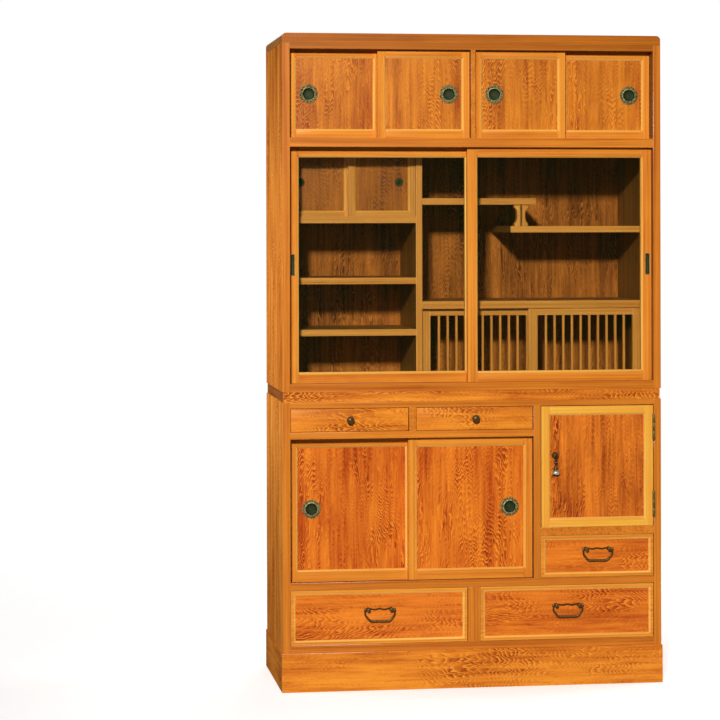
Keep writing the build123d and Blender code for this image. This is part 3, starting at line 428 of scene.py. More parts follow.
def patina(name, dark, worn, roughness=0.42):
    """Patinated metal, rubbed bright where the wear attribute says."""
    material, tree, shader = new_material(name)
    place = add(tree, "ShaderNodeTexCoord").outputs["Object"]
    blotches = noise(tree, place, (260, 260, 260), 3.0)
    grit = noise(tree, place, (1400, 1400, 1400), 2.0)
    wear = add(tree, "ShaderNodeAttribute", attribute_name="wear").outputs["Fac"]
    rub = calc(tree, "MULTIPLY", wear, spread(tree, blotches, 0.3, 0.62))
    tarnish = blend(tree, spread(tree, blotches, 0.35, 0.7), dark, [c * 0.6 for c in dark])
    tree.links.new(blend(tree, rub, tarnish, worn), shader.inputs["Base Color"])
    tree.links.new(calc(tree, "MULTIPLY_ADD", grit, 0.25, roughness - 0.12), shader.inputs["Roughness"])
    shader.inputs["Metallic"].default_value = 0.75
    shader.inputs["Specular IOR Level"].default_value = 0.3
    bump = result(tree, "ShaderNodeBump", {"Height": blotches, "Strength": 0.2, "Distance": 0.0003})
    tree.links.new(bump, shader.inputs["Normal"])
    return material


def clear_glass():
    """Pane that lamps shine through, with faint ripples and dust in its gloss."""
    fittings = bpy.context.scene.fittings
    material, tree, shader = new_material("clear_glass")
    place = add(tree, "ShaderNodeTexCoord").outputs["Object"]
    shader.inputs["Base Color"].default_value = (*fittings.glass_colour, 1.0)
    shader.inputs["Transmission Weight"].default_value = 1.0
    shader.inputs["IOR"].default_value = 1.45
    smears = noise(tree, place, (5, 5, 9), 2.0)
    tree.links.new(calc(tree, "MULTIPLY", spread(tree, smears, 0.5, 0.9), 0.03), shader.inputs["Roughness"])
    bump = result(tree, "ShaderNodeBump", {"Height": smears, "Strength": 0.02, "Distance": 0.0005})
    tree.links.new(bump, shader.inputs["Normal"])
    through = result(tree, "ShaderNodeBsdfTransparent", {"Color": (*fittings.glass_colour, 1.0)})
    path = add(tree, "ShaderNodeLightPath")
    unseen = calc(tree, "MAXIMUM", path.outputs["Is Shadow Ray"], path.outputs["Is Diffuse Ray"])
    mix = result(tree, "ShaderNodeMixShader", {0: unseen, 1: shader.outputs[0], 2: through})
    tree.links.new(mix, tree.nodes["Material Output"].inputs["Surface"])
    return material


# Meshes in the making

def mesh_object(name, mesh):
    """Object for a mesh, linked to the scene."""
    piece = bpy.data.objects.new(name, mesh)
    bpy.context.scene.collection.objects.link(piece)
    return piece


def settle(piece, body, slot, *nodes):
    """Fixes a finished piece to its body, in place of the nodes that it stands for."""
    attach(piece, body)
    if nodes:
        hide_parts(*nodes)


def body_of(node):
    """Name of the body that a node belongs to."""
    return frame["nodes"][node]["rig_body"]


def pour_into(whole, solid):
    """Adds a mesh in the making to another and frees it."""
    part = bpy.data.meshes.new("part")
    solid.to_mesh(part)
    solid.free()
    whole.from_mesh(part)
    bpy.data.meshes.remove(part)


def wear_layer(solid):
    """Layer that says how far each point is rubbed, made where it is missing."""
    return solid.verts.layers.float.get("wear") or solid.verts.layers.float.new("wear")


def skin_rows(solid, rows):
    """Joins rings of points into a tube with closed ends, and gives the faces round it in order."""
    count = len(rows[0])
    faces = []
    for lower, upper in zip(rows, rows[1:]):
        for step in range(count):
            after = (step + 1) % count
            faces.append(solid.faces.new((lower[step], lower[after], upper[after], upper[step])))
    solid.faces.new(rows[0][::-1])
    solid.faces.new(rows[-1])
    return faces


# Boards

def closed_runs(mesh):
    """Triangle numbers of a node's mesh, one list for each of its closed solids."""
    runs, run, loose = [], [], {}
    for face in mesh.polygons:
        corners = [tuple(round(c * MICRON) for c in mesh.vertices[v].co) for v in face.vertices]
        run.append(face.index)
        if len(set(corners)) < 3:
            continue
        for start, end in zip(corners, corners[1:] + corners[:1]):
            if loose.get((end, start), 0):
                loose[end, start] -= 1
                if not loose[end, start]:
                    del loose[end, start]
            else:
                loose[start, end] = loose.get((start, end), 0) + 1
        if not loose:
            runs.append(run)
            run = []
    if loose:
        raise RuntimeError(f"a solid of {mesh.name} isn't closed")
    return runs


def merged_solid(mesh, run):
    """Mesh of one solid, with its loose triangles joined and its flat faces made whole."""
    solid = bmesh.new()
    spots = {}
    for number in run:
        corners = []
        for v in mesh.polygons[number].vertices:
            place = mesh.vertices[v].co
            key = tuple(round(c * MICRON) for c in place)
            if key not in spots:
                spots[key] = solid.verts.new(place)
            corners.append(spots[key])
        if len(set(corners)) == 3:
            solid.faces.new(corners)
    bmesh.ops.dissolve_limit(solid, angle_limit=math.radians(FLAT_ANGLE), verts=solid.verts[:],
                             edges=solid.edges[:])
    solid.normal_update()
    return solid


def bounds_of(solid):
    """Lowest corner and size of a mesh."""
    low = Vector([min(v.co[i] for v in solid.verts) for i in range(3)])
    high = Vector([max(v.co[i] for v in solid.verts) for i in range(3)])
    return low, high - low


def ease_edges(solid, width):
    """Rounds the arrises over and marks their faces."""
    arris = solid.faces.layers.float.new("arris")
    sharp = [edge for edge in solid.edges
             if len(edge.link_faces) == 2 and edge.calc_face_angle(0.0) > math.radians(ARRIS_ANGLE)]
    made = bmesh.ops.bevel(solid, geom=sharp, offset=width, offset_type="OFFSET", segments=2, profile=0.5,
                           affect="EDGES", clamp_overlap=False)
    for face in made["faces"]:
        face[arris] = 1.0


def lay_grain(solid, low, size, luck, run_axis=None):
    """Stores where each point lies along, across and through its board's grain, and the board's tone."""
    through, across, along = sorted(range(3), key=lambda axis: size[axis])
    if run_axis is not None and run_axis != along:
        through, across = [axis for axis in (through, across, along) if axis != run_axis]
        along = run_axis
    grain = solid.verts.layers.float_vector.new("grain")
    tone = solid.verts.layers.float.new("tone")
    middle = low + size / 2
    own_tone = luck.random()
    for vert in solid.verts:
        local = vert.co - middle
        vert[grain] = Vector((local[along], local[across], local[through]))
        vert[tone] = own_tone


def dress_boards(node, slot, finish_of, run_axis=None, paint=None, kept=None):
    """Finished boards in place of a node.

    finish_of gives a finish's name for a board's number, lowest corner and size; run_axis fixes the
    way the grain runs (0, 1 or 2), or gives it from the same three; paint may refine one face; kept
    is how many of the boards are made, where another piece stands for the rest.
    """
    source = frame["nodes"][node].data
    names = []
    luck = random.Random(node)
    whole = bmesh.new()
    for number, run in enumerate(closed_runs(source)[:kept]):
        solid = merged_solid(source, run)
        low, size = bounds_of(solid)
        ease_edges(solid, bpy.context.scene.cedar.eased_edge)
        axis = run_axis(number, low, size) if callable(run_axis) else run_axis
        lay_grain(solid, low, size, luck, axis)
        usual = finish_of(number, low, size)
        for face in solid.faces:
            own = paint(number, face) if paint else None
            own = own or usual
            if own not in names:
                names.append(own)
            face.material_index = names.index(own)
        pour_into(whole, solid)
    merged = bpy.data.meshes.new(node + "_finished")
    whole.to_mesh(merged)
    whole.free()
    for name in names:
        merged.materials.append(finish(name))
    merged.set_sharp_from_angle(angle=math.radians(WOOD_CREASE))
    settle(mesh_object(node + "_wood", merged), body_of(node), slot, node)


# Turned and bent metal

def turned(solid, profile, place, steps=48):
    """Adds a turned shape; profile holds (radius, height, wear), from one end's middle to the other's."""
    wear = wear_layer(solid)
    turns = [2 * math.pi * step / steps for step in range(steps)]
    rows = []
    for radius, height, rub in profile:
        ring = [(radius * math.cos(turn), radius * math.sin(turn), height) for turn in turns]
        if radius == 0:
            ring = [(0, 0, height)]
        row = [solid.verts.new(place @ Vector(point)) for point in ring]
        for vert in row:
            vert[wear] = rub
        rows.append(row)
    for lower, upper in zip(rows, rows[1:]):
        for step in range(steps):
            after = (step + 1) % steps
            if len(lower) == 1:
                solid.faces.new((lower[0], upper[step], upper[after]))
            elif len(upper) == 1:
                solid.faces.new((lower[after], lower[step], upper[0]))
            else:
                solid.faces.new((lower[step], upper[step], upper[after], lower[after]))


def bent_rod(solid, path, radii, rub):
    """Adds a round rod with flat ends along points in an upright plane."""
    steps = 20
    wear = wear_layer(solid)
    rows = []
    for number, point in enumerate(path):
        ahead = path[min(number + 1, len(path) - 1)] - path[max(number - 1, 0)]
        outward = Vector((0, 1, 0)).cross(ahead.normalized())
        row = []
        for step in range(steps):
            turn = 2 * math.pi * step / steps
            ring = Vector((0, math.cos(turn), 0)) + outward * math.sin(turn)
            vert = solid.verts.new(point + ring * radii[number])
            vert[wear] = rub[number]
            row.append(vert)
        rows.append(row)
    skin_rows(solid, rows)


def facing_front(place):
    """Matrix that turns a shape's axis to stand out of the front at a place."""
    return Matrix.Translation(place) @ Matrix.Rotation(math.radians(90), 4, "X")


def metal_piece(name, solid, material, body, slot, nodes=()):
    """Finished metal piece from a mesh in the making."""
    bmesh.ops.recalc_face_normals(solid, faces=solid.faces[:])
    for face in solid.faces:
        face.smooth = True
    mesh = bpy.data.meshes.new(name)
    solid.to_mesh(mesh)
    solid.free()
    mesh.materials.append(material)
    mesh.set_sharp_from_angle(angle=math.radians(METAL_CREASE))
    settle(mesh_object(name, mesh), body, slot, *nodes)


# Geometry node trees

def node_group(name, sockets):
    """New geometry tree, its inputs and its output.

    sockets holds (name, kind, default) for each input; the base mesh comes before them and the
    material after them.
    """
    group = bpy.data.node_groups.new(name, "GeometryNodeTree")
    group.interface.new_socket("Geometry", in_out="INPUT", socket_type="NodeSocketGeometry")
    for label, kind, default in (*sockets, ("Material", "NodeSocketMaterial", None)):
        socket = group.interface.new_socket(label, in_out="INPUT", socket_type=kind)
        if default is not None:
            socket.default_value = default
    group.interface.new_socket("Geometry", in_out="OUTPUT", socket_type="NodeSocketGeometry")
    return group, add(group, "NodeGroupInput").outputs, add(group, "NodeGroupOutput").inputs


def stored(group, geometry, name, value, **settings):
    """Geometry that carries a named attribute."""
    return result(group, "GeometryNodeStoreNamedAttribute",
                  {"Geometry": geometry, "Name": name, "Value": value}, **settings)


def finished_tree(group, given, output, geometry):
    """Tree that ends with its pieces in their material."""
    painted = result(group, "GeometryNodeSetMaterial", {"Geometry": geometry, "Material": given["Material"]})
    group.links.new(painted, output[0])
    return group


def grown(name, base, group, values, body, slot):
    """Plain mesh that a geometry tree grows from a base mesh, settled on its body."""
    holder = mesh_object(name + "_base", base)
    modifier = holder.modifiers.new("grow", "NODES")
    modifier.node_group = group
    for item in group.interface.items_tree:
        if item.in_out == "INPUT" and item.name in values:
            modifier[item.identifier] = values[item.name]
    bpy.context.view_layer.update()
    shown = holder.evaluated_get(bpy.context.evaluated_depsgraph_get())
    mesh = bpy.data.meshes.new_from_object(shown)
    mesh.name = name
    holder.modifiers.clear()
    bpy.data.objects.remove(holder)
    if not mesh.polygons:
        raise RuntimeError(f"{name} came out empty")
    settle(mesh_object(name, mesh), body, slot)


def points_mesh(places):
    """Mesh of loose points."""
    mesh = bpy.data.meshes.new("points")
    mesh.from_pydata([tuple(place) for place in places], [], [])
    return mesh


def lattice_tree():
    """Upright bars at an even pitch, each with its own stretch of grain."""
    group, given, output = node_group("LatticeBars", [
        ("Bars", "NodeSocketInt", 10), ("Pitch", "NodeSocketFloat", 0.025),
        ("Bar Size", "NodeSocketVector", None), ("First Bar", "NodeSocketVector", None),
        ("Seed", "NodeSocketInt", 5)])
    step = result(group, "ShaderNodeCombineXYZ", {0: given["Pitch"]})
    line = result(group, "GeometryNodeMeshLine", {"Count": given["Bars"], "Offset": step,
                                                  "Start Location": given["First Bar"]}, mode="OFFSET")
    bar = result(group, "GeometryNodeMeshCube", {"Size": given["Bar Size"], "Vertices Z": 2})
    placed = result(group, "GeometryNodeInstanceOnPoints", {"Points": line, "Instance": bar})
    luck = add(group, "FunctionNodeRandomValue", {"Seed": given["Seed"]}, data_type="FLOAT").outputs[1]
    toned = stored(group, placed, "tone", luck, domain="INSTANCE")
    real = result(group, "GeometryNodeRealizeInstances", {0: toned})
    spot = add(group, "ShaderNodeSeparateXYZ", {0: result(group, "GeometryNodeInputPosition")}).outputs
    grain = result(group, "ShaderNodeCombineXYZ", {0: spot[2], 1: spot[0], 2: spot[1]})
    laid = stored(group, real, "grain", grain, data_type="FLOAT_VECTOR")
    return finished_tree(group, given, output, laid)


def screw_tree():
    """Slotted countersunk screw heads on points, each turned its own way."""
    group, given, output = node_group("SlottedScrews", [
        ("Head Radius", "NodeSocketFloat", 0.0026), ("Head Height", "NodeSocketFloat", 0.0008),
        ("Facing", "NodeSocketRotation", None), ("Seed", "NodeSocketInt", 3)])
    radius, height = given["Head Radius"], given["Head Height"]
    head = result(group, "GeometryNodeMeshCylinder", {"Vertices": 20, "Radius": radius, "Depth": height})
    slot_size = result(group, "ShaderNodeCombineXYZ", {0: calc(group, "MULTIPLY", radius, 3.0),
                                                       1: calc(group, "MULTIPLY", radius, 0.3), 2: height})
    slot = result(group, "GeometryNodeMeshCube", {"Size": slot_size})
    lift = result(group, "ShaderNodeCombineXYZ", {2: calc(group, "MULTIPLY", height, 0.6)})
    raised = result(group, "GeometryNodeTransform", {"Geometry": slot, "Translation": lift})
    cut = result(group, "GeometryNodeMeshBoolean", {0: head, 1: raised}, operation="DIFFERENCE")
    luck = add(group, "FunctionNodeRandomValue", {3: math.pi, "Seed": given["Seed"]}, data_type="FLOAT")
    spun = result(group, "ShaderNodeCombineXYZ", {2: luck.outputs[1]})
    turn = result(group, "FunctionNodeEulerToRotation", {0: spun})
    facing = result(group, "FunctionNodeRotateRotation", {0: given["Facing"], 1: turn},
                    rotation_space="LOCAL")
    placed = result(group, "GeometryNodeInstanceOnPoints", {"Points": given["Geometry"], "Instance": cut,
                                                            "Rotation": facing})
    real = result(group, "GeometryNodeRealizeInstances", {0: placed})
    return finished_tree(group, given, output, stored(group, real, "wear", 0.7))


def nail_tree():
    """Low domed nail heads on points."""
    group, given, output = node_group("NailHeads", [("Head Radius", "NodeSocketFloat", 0.0022)])
    ball = result(group, "GeometryNodeMeshIcoSphere", {"Radius": given["Head Radius"], "Subdivisions": 2})
    low = result(group, "GeometryNodeTransform", {"Geometry": ball, "Scale": (1.0, 0.4, 1.0)})
    placed = result(group, "GeometryNodeInstanceOnPoints", {"Points": given["Geometry"], "Instance": low})
    real = result(group, "GeometryNodeRealizeInstances", {0: placed})
    return finished_tree(group, given, output, stored(group, real, "wear", 0.3))


def petal_tree():
    """Ring of petals, or of scallops, round a pull in the upright plane of its door."""
    group, given, output = node_group("PullPetals", [
        ("Petals", "NodeSocketInt", 16), ("Ring Radius", "NodeSocketFloat", 0.02),
        ("Petal Size", "NodeSocketVector", None), ("Centre", "NodeSocketVector", None),
        ("Rub", "NodeSocketFloat", 0.5)])
    ring = result(group, "GeometryNodeMeshCircle", {"Vertices": given["Petals"],
                                                    "Radius": given["Ring Radius"]})
    petal = result(group, "GeometryNodeMeshIcoSphere", {"Radius": 1.0, "Subdivisions": 2})
    spot = add(group, "ShaderNodeSeparateXYZ", {0: result(group, "GeometryNodeInputPosition")}).outputs
    turn = result(group, "ShaderNodeCombineXYZ", {2: calc(group, "ARCTAN2", spot[1], spot[0])})
    outward = result(group, "FunctionNodeEulerToRotation", {0: turn})
    placed = result(group, "GeometryNodeInstanceOnPoints",
                    {"Points": ring, "Instance": petal, "Rotation": outward, "Scale": given["Petal Size"]})
    upright = result(group, "GeometryNodeTransform", {"Geometry": placed, "Translation": given["Centre"],
                                                      "Rotation": (math.radians(90), 0, 0)})
    real = result(group, "GeometryNodeRealizeInstances", {0: upright})
    smooth = result(group, "GeometryNodeSetShadeSmooth", {0: stored(group, real, "wear", given["Rub"])})
    return finished_tree(group, given, output, smooth)


# Finishes by name

# Finish: its pair of colours, its figure, how strongly its rings show, its share of the lacquer.
CEDARS = {
    "cedar_case": ("case", "straight", 0.6, 1.0),
    "cedar_side": ("side", "flame", 0.45, 0.0),
    # The two bevel finishes are paler wood that paints the highlight on the doors' inner bevels.
    "cedar_bevel": ("bevel", "straight", 0.4, 0.15),
    "cedar_inner_bevel": ("inner_bevel", "straight", 0.4, 0.4),
    # The inside finish is darker wood that paints the shade on inner faces, undersides and the strut's
    # groove.
    "cedar_inside": ("inside", "straight", 0.6, 0.2),
    "cedar_inside_back": ("inner_back", "flame", 0.6, 0.2),
    "cedar_hinged_panel": ("hinged_panel", "flame", 0.8, 1.0),
    "cedar_top": ("top", "straight", 0.7, 1.0),
    "cedar_door_frame": ("frame", "straight", 0.65, 0.25),
    "cedar_hinged_frame": ("hinged", "straight", 0.5, 1.0),
    "cedar_shelf": ("shelf", "straight", 0.65, 0.6),
    "cedar_inner_panel": ("inner_panel", "flame", 0.85, 0.6),
    "cedar_upper_panel": ("upper_panel", "flame", 0.7, 1.0),
    "cedar_lower_panel": ("lower_panel", "flame", 0.9, 1.0),
    "cedar_plinth": ("plinth", "burl", 0.75, 1.0),
    "cedar_drawer_field": ("drawer", "burl", 0.75, 1.0),
    "cedar_back": ("back", "flame", 0.85, 0.3),
    "cedar_hidden": ("hidden", "straight", 0.5, 0.0),
}
# Finish: its patina, its rubbed metal, its roughness.
METALS = {
    "pull_patina": ("pull_colour", "pull_worn", 0.58),
    "small_pull_patina": ("pull_colour", "bail_worn", 0.85),
    "bail_patina": ("bail_colour", "bail_worn", 0.42),
    "drop_patina": ("bail_colour", "drop_worn", 0.32),
    "hinge_brass": ("hinge_colour", "hinge_worn", 0.4),
}


def finish(name):
    """Material by its name, made when it is first asked for."""
    if name in bpy.data.materials:
        return bpy.data.materials[name]
    if name in CEDARS:
        tone, figure, strength, coat = CEDARS[name]
        wood = bpy.context.scene.cedar
        pale, deep = getattr(wood, tone + "_pale"), getattr(wood, tone + "_deep")
        return cedar(name, pale, deep, figure, strength, coat)
    if name in METALS:
        dark, worn, roughness = METALS[name]
        fittings = bpy.context.scene.fittings
        return patina(name, getattr(fittings, dark), getattr(fittings, worn), roughness)
    return clear_glass()


# Pieces of wood

def first_figured(number, low, size):
    """Figured front board, plain boards behind it."""
    return "cedar_plinth" if number == 0 else "cedar_side"


def partition_boards(number, low, size):
    """Case wood between the top doors, shelf wood in the display."""
    return "cedar_case" if low.z > TOP_DOORS_Z else "cedar_shelf"


def one_finish(name):
    """The same finish for every board of a node."""
    return lambda number, low, size: name


def side_faces(number, face):
    """Straight grain on a side board's front edge; on its inner face the inside wood, less lacquered and
    darker as painted shade.
    """
    if face.normal.y < -FACING:
        return "cedar_case"
    inward = face.normal.x * face.calc_center_median().x < 0 and abs(face.normal.x) > FACING
    return "cedar_inside" if inward else None


def painted_shade_ends(number, face):
    """Darker back wood painted on the ends of a recessed band as the shade in its recess."""
    return "cedar_back" if abs(face.normal.x) > FACING and number in (1, 2) else None


def painted_shade_behind(number, face):
    """Inside wood on all of an inner board but its front edge: less lacquered, and darker as painted shade.
    """
    return "cedar_inside" if face.normal.y > -LEANING else None


def painted_shade_below(number, face):
    """Inside wood on a board's underside: less lacquered, and darker as painted shade."""
    return "cedar_inside" if face.normal.z < -FACING else None


def panel_faces(number, face):
    """Paler wood on the side of a back panel that faces into the case."""
    return "cedar_inside_back" if face.normal.y < -LEANING else None


def highlit_bevel_faces(bevel_highlight_finish):
    """Paler colour on the inner bevels of a door's frame or a drawer's front: a painted highlight, as if
    they caught the light.
    """
    upright = 0.95                           # faces past this aren't slanted
    least_length, least_area = 0.02, 5e-5    # smaller slanted faces belong to eased arrises

    def paint(number, face):
        slanted = -upright < face.normal.y < -LEANING
        long = max(edge.calc_length() for edge in face.edges) > least_length
        return bevel_highlight_finish if slanted and long and face.calc_area() > least_area else None
    return paint


def drawer_boards(number, low, size):
    """Figured front on a plain box."""
    return "cedar_plinth" if number == 0 else "cedar_hidden"


def dress_pane(node):
    """Glass pane with its arrises just broken."""
    source = frame["nodes"][node].data
    pane = merged_solid(source, closed_runs(source)[0])
    ease_edges(pane, width=0.0003)
    mesh = bpy.data.meshes.new(node + "_glass")
    pane.to_mesh(mesh)
    pane.free()
    mesh.materials.append(finish("clear_glass"))
    settle(mesh_object(node + "_glass", mesh), body_of(node), "pane_glass", node)


def dress_door(node, frame_finish, panel_finish, bevel_highlight_finish="cedar_bevel"):
    """Framed door: straight-grained members and, last of its boards, an upright figured panel."""
    def of_board(number, low, size):
        return panel_finish if number == FRAME_MEMBERS else frame_finish

    def run(number, low, size):
        return UPRIGHT if number == FRAME_MEMBERS else None
    dress_boards(node, "door_wood", of_board, run, highlit_bevel_faces(bevel_highlight_finish))


def dress_drawer(node):
    """Drawer with a figured field inside the pale margin of its front, and a plain box behind."""
    front_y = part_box(node)[0].y
    field_depth, slack = 0.004, 0.001

    def of_board(number, low, size):
        return "cedar_door_frame" if number == 0 else "cedar_hidden"

    # The front's inner bevels take the paler colour of a painted highlight.
    bevels = highlit_bevel_faces("cedar_bevel")

    def paint(number, face):
        sunk = number == 0 and all(abs(vert.co.y - front_y - field_depth) < slack for vert in face.verts)
        return "cedar_drawer_field" if sunk else bevels(number, face)
    dress_boards(node, "drawer_wood", of_board, paint=paint)


# Round pulls

def round_pull(node):
    """Turned finger cup with a beaded lip and a low dished flange, ringed by petals and scallops."""
    low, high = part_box(node)
    fittings = bpy.context.scene.fittings
    radius = (high.x - low.x) / 2
    small = radius < 0.015
    patina_finish = finish("small_pull_patina" if small else "pull_patina")
    rim = 0.0012 if small else 0.002
    depth = (high.y - low.y) - rim
    dish = radius * (0.68 if small else 0.7)
    wall = 0.001
    place = facing_front(Vector(((low.x + high.x) / 2, low.y + rim, (low.z + high.z) / 2)))
    profile = [
        (0, -depth, 0), (dish + wall * 0.4, -depth, 0), (dish + wall, -depth + wall * 0.6, 0),
        (dish + wall, 0, 0), (radius * 0.965, 0, 0.2), (radius * 0.985, rim * 0.25, 0.3),
        (radius * 0.965, rim * 0.55, 0.4), (radius * 0.93, rim * 0.5, 0.5), (radius * 0.86, rim * 0.35, 0.9),
        (radius * 0.8, rim * 0.45, 1.0), (radius * 0.765, rim * 0.8, 1.0), (radius * 0.735, rim, 1.0),
        (dish + wall * 0.1, rim * 0.8, 0.8), (dish, rim * 0.3, 0.1), (dish * 0.985, -depth * 0.55, 0.0),
        (dish * 0.93, -depth * 0.78, 0.0), (dish * 0.8, -depth + wall * 1.1, 0),
        (dish * 0.35, -depth + wall, 0.05), (0, -depth + wall, 0.1),
    ]
    if small:
        profile = [(across, up, rub * 0.6) for across, up, rub in profile]
    solid = bmesh.new()
    turned(solid, profile, place)
    metal_piece(node + "_cup", solid, patina_finish, body_of(node), "pull_metal", [node])
    rings = [("petals", fittings.pull_petals * (1 if small else 2), 0.895, (0.085, 0.07, 0.42), 0.45),
             ("scallops", fittings.pull_scallops, 1.0, (0.15, 0.2, 0.34), 0.02)]
    for name, petals, reach, (length_share, width_share, height_share), lift in rings:
        values = {"Petals": petals, "Ring Radius": radius * reach,
                  "Petal Size": Vector((radius * length_share, radius * width_share, rim * height_share)),
                  "Centre": place.translation - Vector((0, rim * lift, 0)), "Rub": 0.1 if small else 0.5,
                  "Material": patina_finish}
        grown(f"{node}_{name}", points_mesh([(0, 0, 0)]), petal_tree(), values, body_of(node), "pull_metal")


def slot_pull(node):
    """Let-in slot pull with rounded corners and a raised lip."""
    low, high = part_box(node)
    centre = (low + high) / 2
    half_width, half_height = (high.x - low.x) / 2, (high.z - low.z) / 2
    back, front = high.y - low.y, 0.0
    lip_depth = 0.0003
    quarters = ((1, 1), (-1, 1), (-1, -1), (1, -1))
    steps = [(0.0, back), (0.0, 0.0006), (0.0002, 0.0001), (0.0006, front), (0.0011, front),
             (0.0014, 0.0002), (0.0015, 0.0008), (0.0016, back - 0.0024), (0.0022, back - 0.0014),
             (0.0032, back - 0.001)]
    solid = bmesh.new()
    wear = wear_layer(solid)
    rows = []
    for inset, y in steps:
        corner = max(0.0012 - inset * 0.3, 0.0004)
        row = []
        for quarter, (sign_x, sign_z) in enumerate(quarters):
            for part in range(5):
                turn = math.radians(90 * quarter + 22.5 * part)
                x = sign_x * (half_width - inset - corner) + corner * math.cos(turn)
                z = sign_z * (half_height - inset - corner) + corner * math.sin(turn)
                vert = solid.verts.new((centre.x + x, low.y + y, centre.z + z))
                vert[wear] = 0.9 if y < lip_depth else 0.1
                row.append(vert)
        rows.append(row)
    skin_rows(solid, rows)
    metal_piece(node + "_slot", solid, finish("pull_patina"), body_of(node), "pull_metal", [node])


def knob(node):
    """Turned mushroom knob with a collar, its stem let into the drawer front."""
    low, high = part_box(node)
    radius = (high.x - low.x) / 2
    stem, reach = 0.003, 0.022
    face = low.y + reach
    place = facing_front(Vector(((low.x + high.x) / 2, face, (low.z + high.z) / 2)))
    shares = [
        (0.72, 0, 0.2), (0.74, 0.05, 0.6), (0.68, 0.1, 0.5), (0.5, 0.15, 0.1), (0.42, 0.24, 0.05),
        (0.4, 0.36, 0.05), (0.46, 0.46, 0.05), (0.7, 0.54, 0.1), (0.92, 0.62, 0.4), (1, 0.7, 0.8),
        (0.985, 0.77, 0.8), (0.86, 0.86, 0.5), (0.62, 0.93, 0.4), (0.34, 0.97, 0.3), (0.2, 0.975, 0.5),
        (0.12, 1, 0.9), (0, 1, 0.9),
    ]
    profile = [(0, face - high.y, 0), (stem, face - high.y, 0), (stem, 0, 0)]
    profile += [(radius * across, reach * up, rub * 0.3) for across, up, rub in shares]
    solid = bmesh.new()
    turned(solid, profile, place)
    metal_piece(node + "_turned", solid, finish("bail_patina"), body_of(node), "pull_metal", [node])


# Bails

def cut_away(solid, cutter):
    """Takes a cutter's shape out of a mesh in the making."""
    work, tool = bpy.data.meshes.new("work"), bpy.data.meshes.new("tool")
    bmesh.ops.recalc_face_normals(solid, faces=solid.faces[:])
    bmesh.ops.recalc_face_normals(cutter, faces=cutter.faces[:])
    solid.to_mesh(work)
    cutter.to_mesh(tool)
    cutter.free()
    blank, knife = mesh_object("blank", work), mesh_object("knife", tool)
    carve = blank.modifiers.new("carve", "BOOLEAN")
    carve.object = knife
    carve.solver = "EXACT"
    bpy.context.view_layer.update()
    carved = bpy.data.meshes.new_from_object(blank.evaluated_get(bpy.context.evaluated_depsgraph_get()))
    blank.modifiers.clear()
    bpy.data.objects.remove(blank)
    bpy.data.objects.remove(knife)
    solid.clear()
    solid.from_mesh(carved)


def rod_mesh(start, end, radius):
    """Mesh in the making of a plain round rod."""
    steps = 24
    rod = bmesh.new()
    reach = (end - start).length
    aim = (end - start).to_track_quat("Z", "Y").to_matrix().to_4x4()
    turned(rod, [(0, 0, 0), (radius, 0, 0), (radius, reach, 0), (0, reach, 0)],
           Matrix.Translation(start) @ aim, steps)
    return rod


def scalloped_strap(solid, middle, field, half_length):
    """Adds a thin strap with wavy edges that lies flat on the drawer's field."""
    waves, steps, thickness, chamfer = 2, 48, 0.0016, 0.0003
    above, below, wave_height = 0.0024, 0.0022, 0.0010
    wear = wear_layer(solid)
    rows = []
    for step in range(steps + 1):
        along = -1 + 2 * step / steps
        wave = wave_height * math.cos(math.pi * waves * along)
        top, bottom = above + wave, -below + wave
        outline = [(field, bottom), (field - thickness, bottom + chamfer),
                   (field - thickness, top - chamfer), (field, top)]
        row = [solid.verts.new((middle.x + along * half_length, y, middle.z + z)) for y, z in outline]
        for vert in row:
            vert[wear] = 0.1
        rows.append(row)
    skin_rows(solid, rows)


def bail_posts(node):
    """Two ball-headed posts bored for the bail, with a scalloped strap between them on the drawer front."""
    low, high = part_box(node)
    middle = (low + high) / 2
    half_spacing = 0.032
    reach, post_radius, stem_radius = 0.0175, 0.0055, 0.003
    bore_reach, bore_radius = 0.009, 0.0021
    strap_gap = 0.0046
    field = low.y + reach
    profile = [
        (0, field - high.y, 0), (stem_radius, field - high.y, 0), (stem_radius, 0, 0), (post_radius, 0, 0.1),
        (post_radius, 0.0012, 0.2), (0.0047, 0.0024, 0.1), (0.0039, 0.0034, 0.0), (0.0039, 0.0052, 0.0),
        (0.0044, 0.0064, 0.1), (0.0044, 0.0114, 0.1), (0.0038, 0.0122, 0.0), (0.0046, 0.0128, 0.1),
        (0.0054, 0.0139, 0.4), (0.0054, 0.0150, 0.4), (0.0046, 0.0163, 0.3), (0.0028, 0.0172, 0.3),
        (0, reach, 0.3),
    ]
    solid = bmesh.new()
    for side in (-1, 1):
        turned(solid, profile, facing_front(Vector((middle.x + side * half_spacing, field, middle.z))), 32)
        inner, outer = [Vector((middle.x + side * (half_spacing + shift), field - bore_reach, middle.z))
                        for shift in (-post_radius, post_radius)]
        cut_away(solid, rod_mesh(inner, outer, bore_radius))
    scalloped_strap(solid, middle, field, half_spacing - strap_gap)
    metal_piece(node + "_turned", solid, finish("bail_patina"), body_of(node), "bail_metal", [node])


def rounded_path(corners, radii):
    """Points along straight runs whose corners are rounded, each by its own radius."""
    steps, most = 7, 0.48    # most is the share of a run that a corner may take up
    path = [corners[0]]
    for before, corner, after, radius in zip(corners, corners[1:], corners[2:], radii):
        into, out = (corner - before).normalized(), (after - corner).normalized()
        half = into.angle(out) / 2
        reach = min(radius * math.tan(half), (corner - before).length * most, (after - corner).length * most)
        start, end = corner - into * reach, corner + out * reach
        for step in range(steps + 1):
            t = step / steps
            path.append(start * (1 - t) ** 2 + corner * (2 * t * (1 - t)) + end * t * t)
    path.append(corners[-1])
    return path


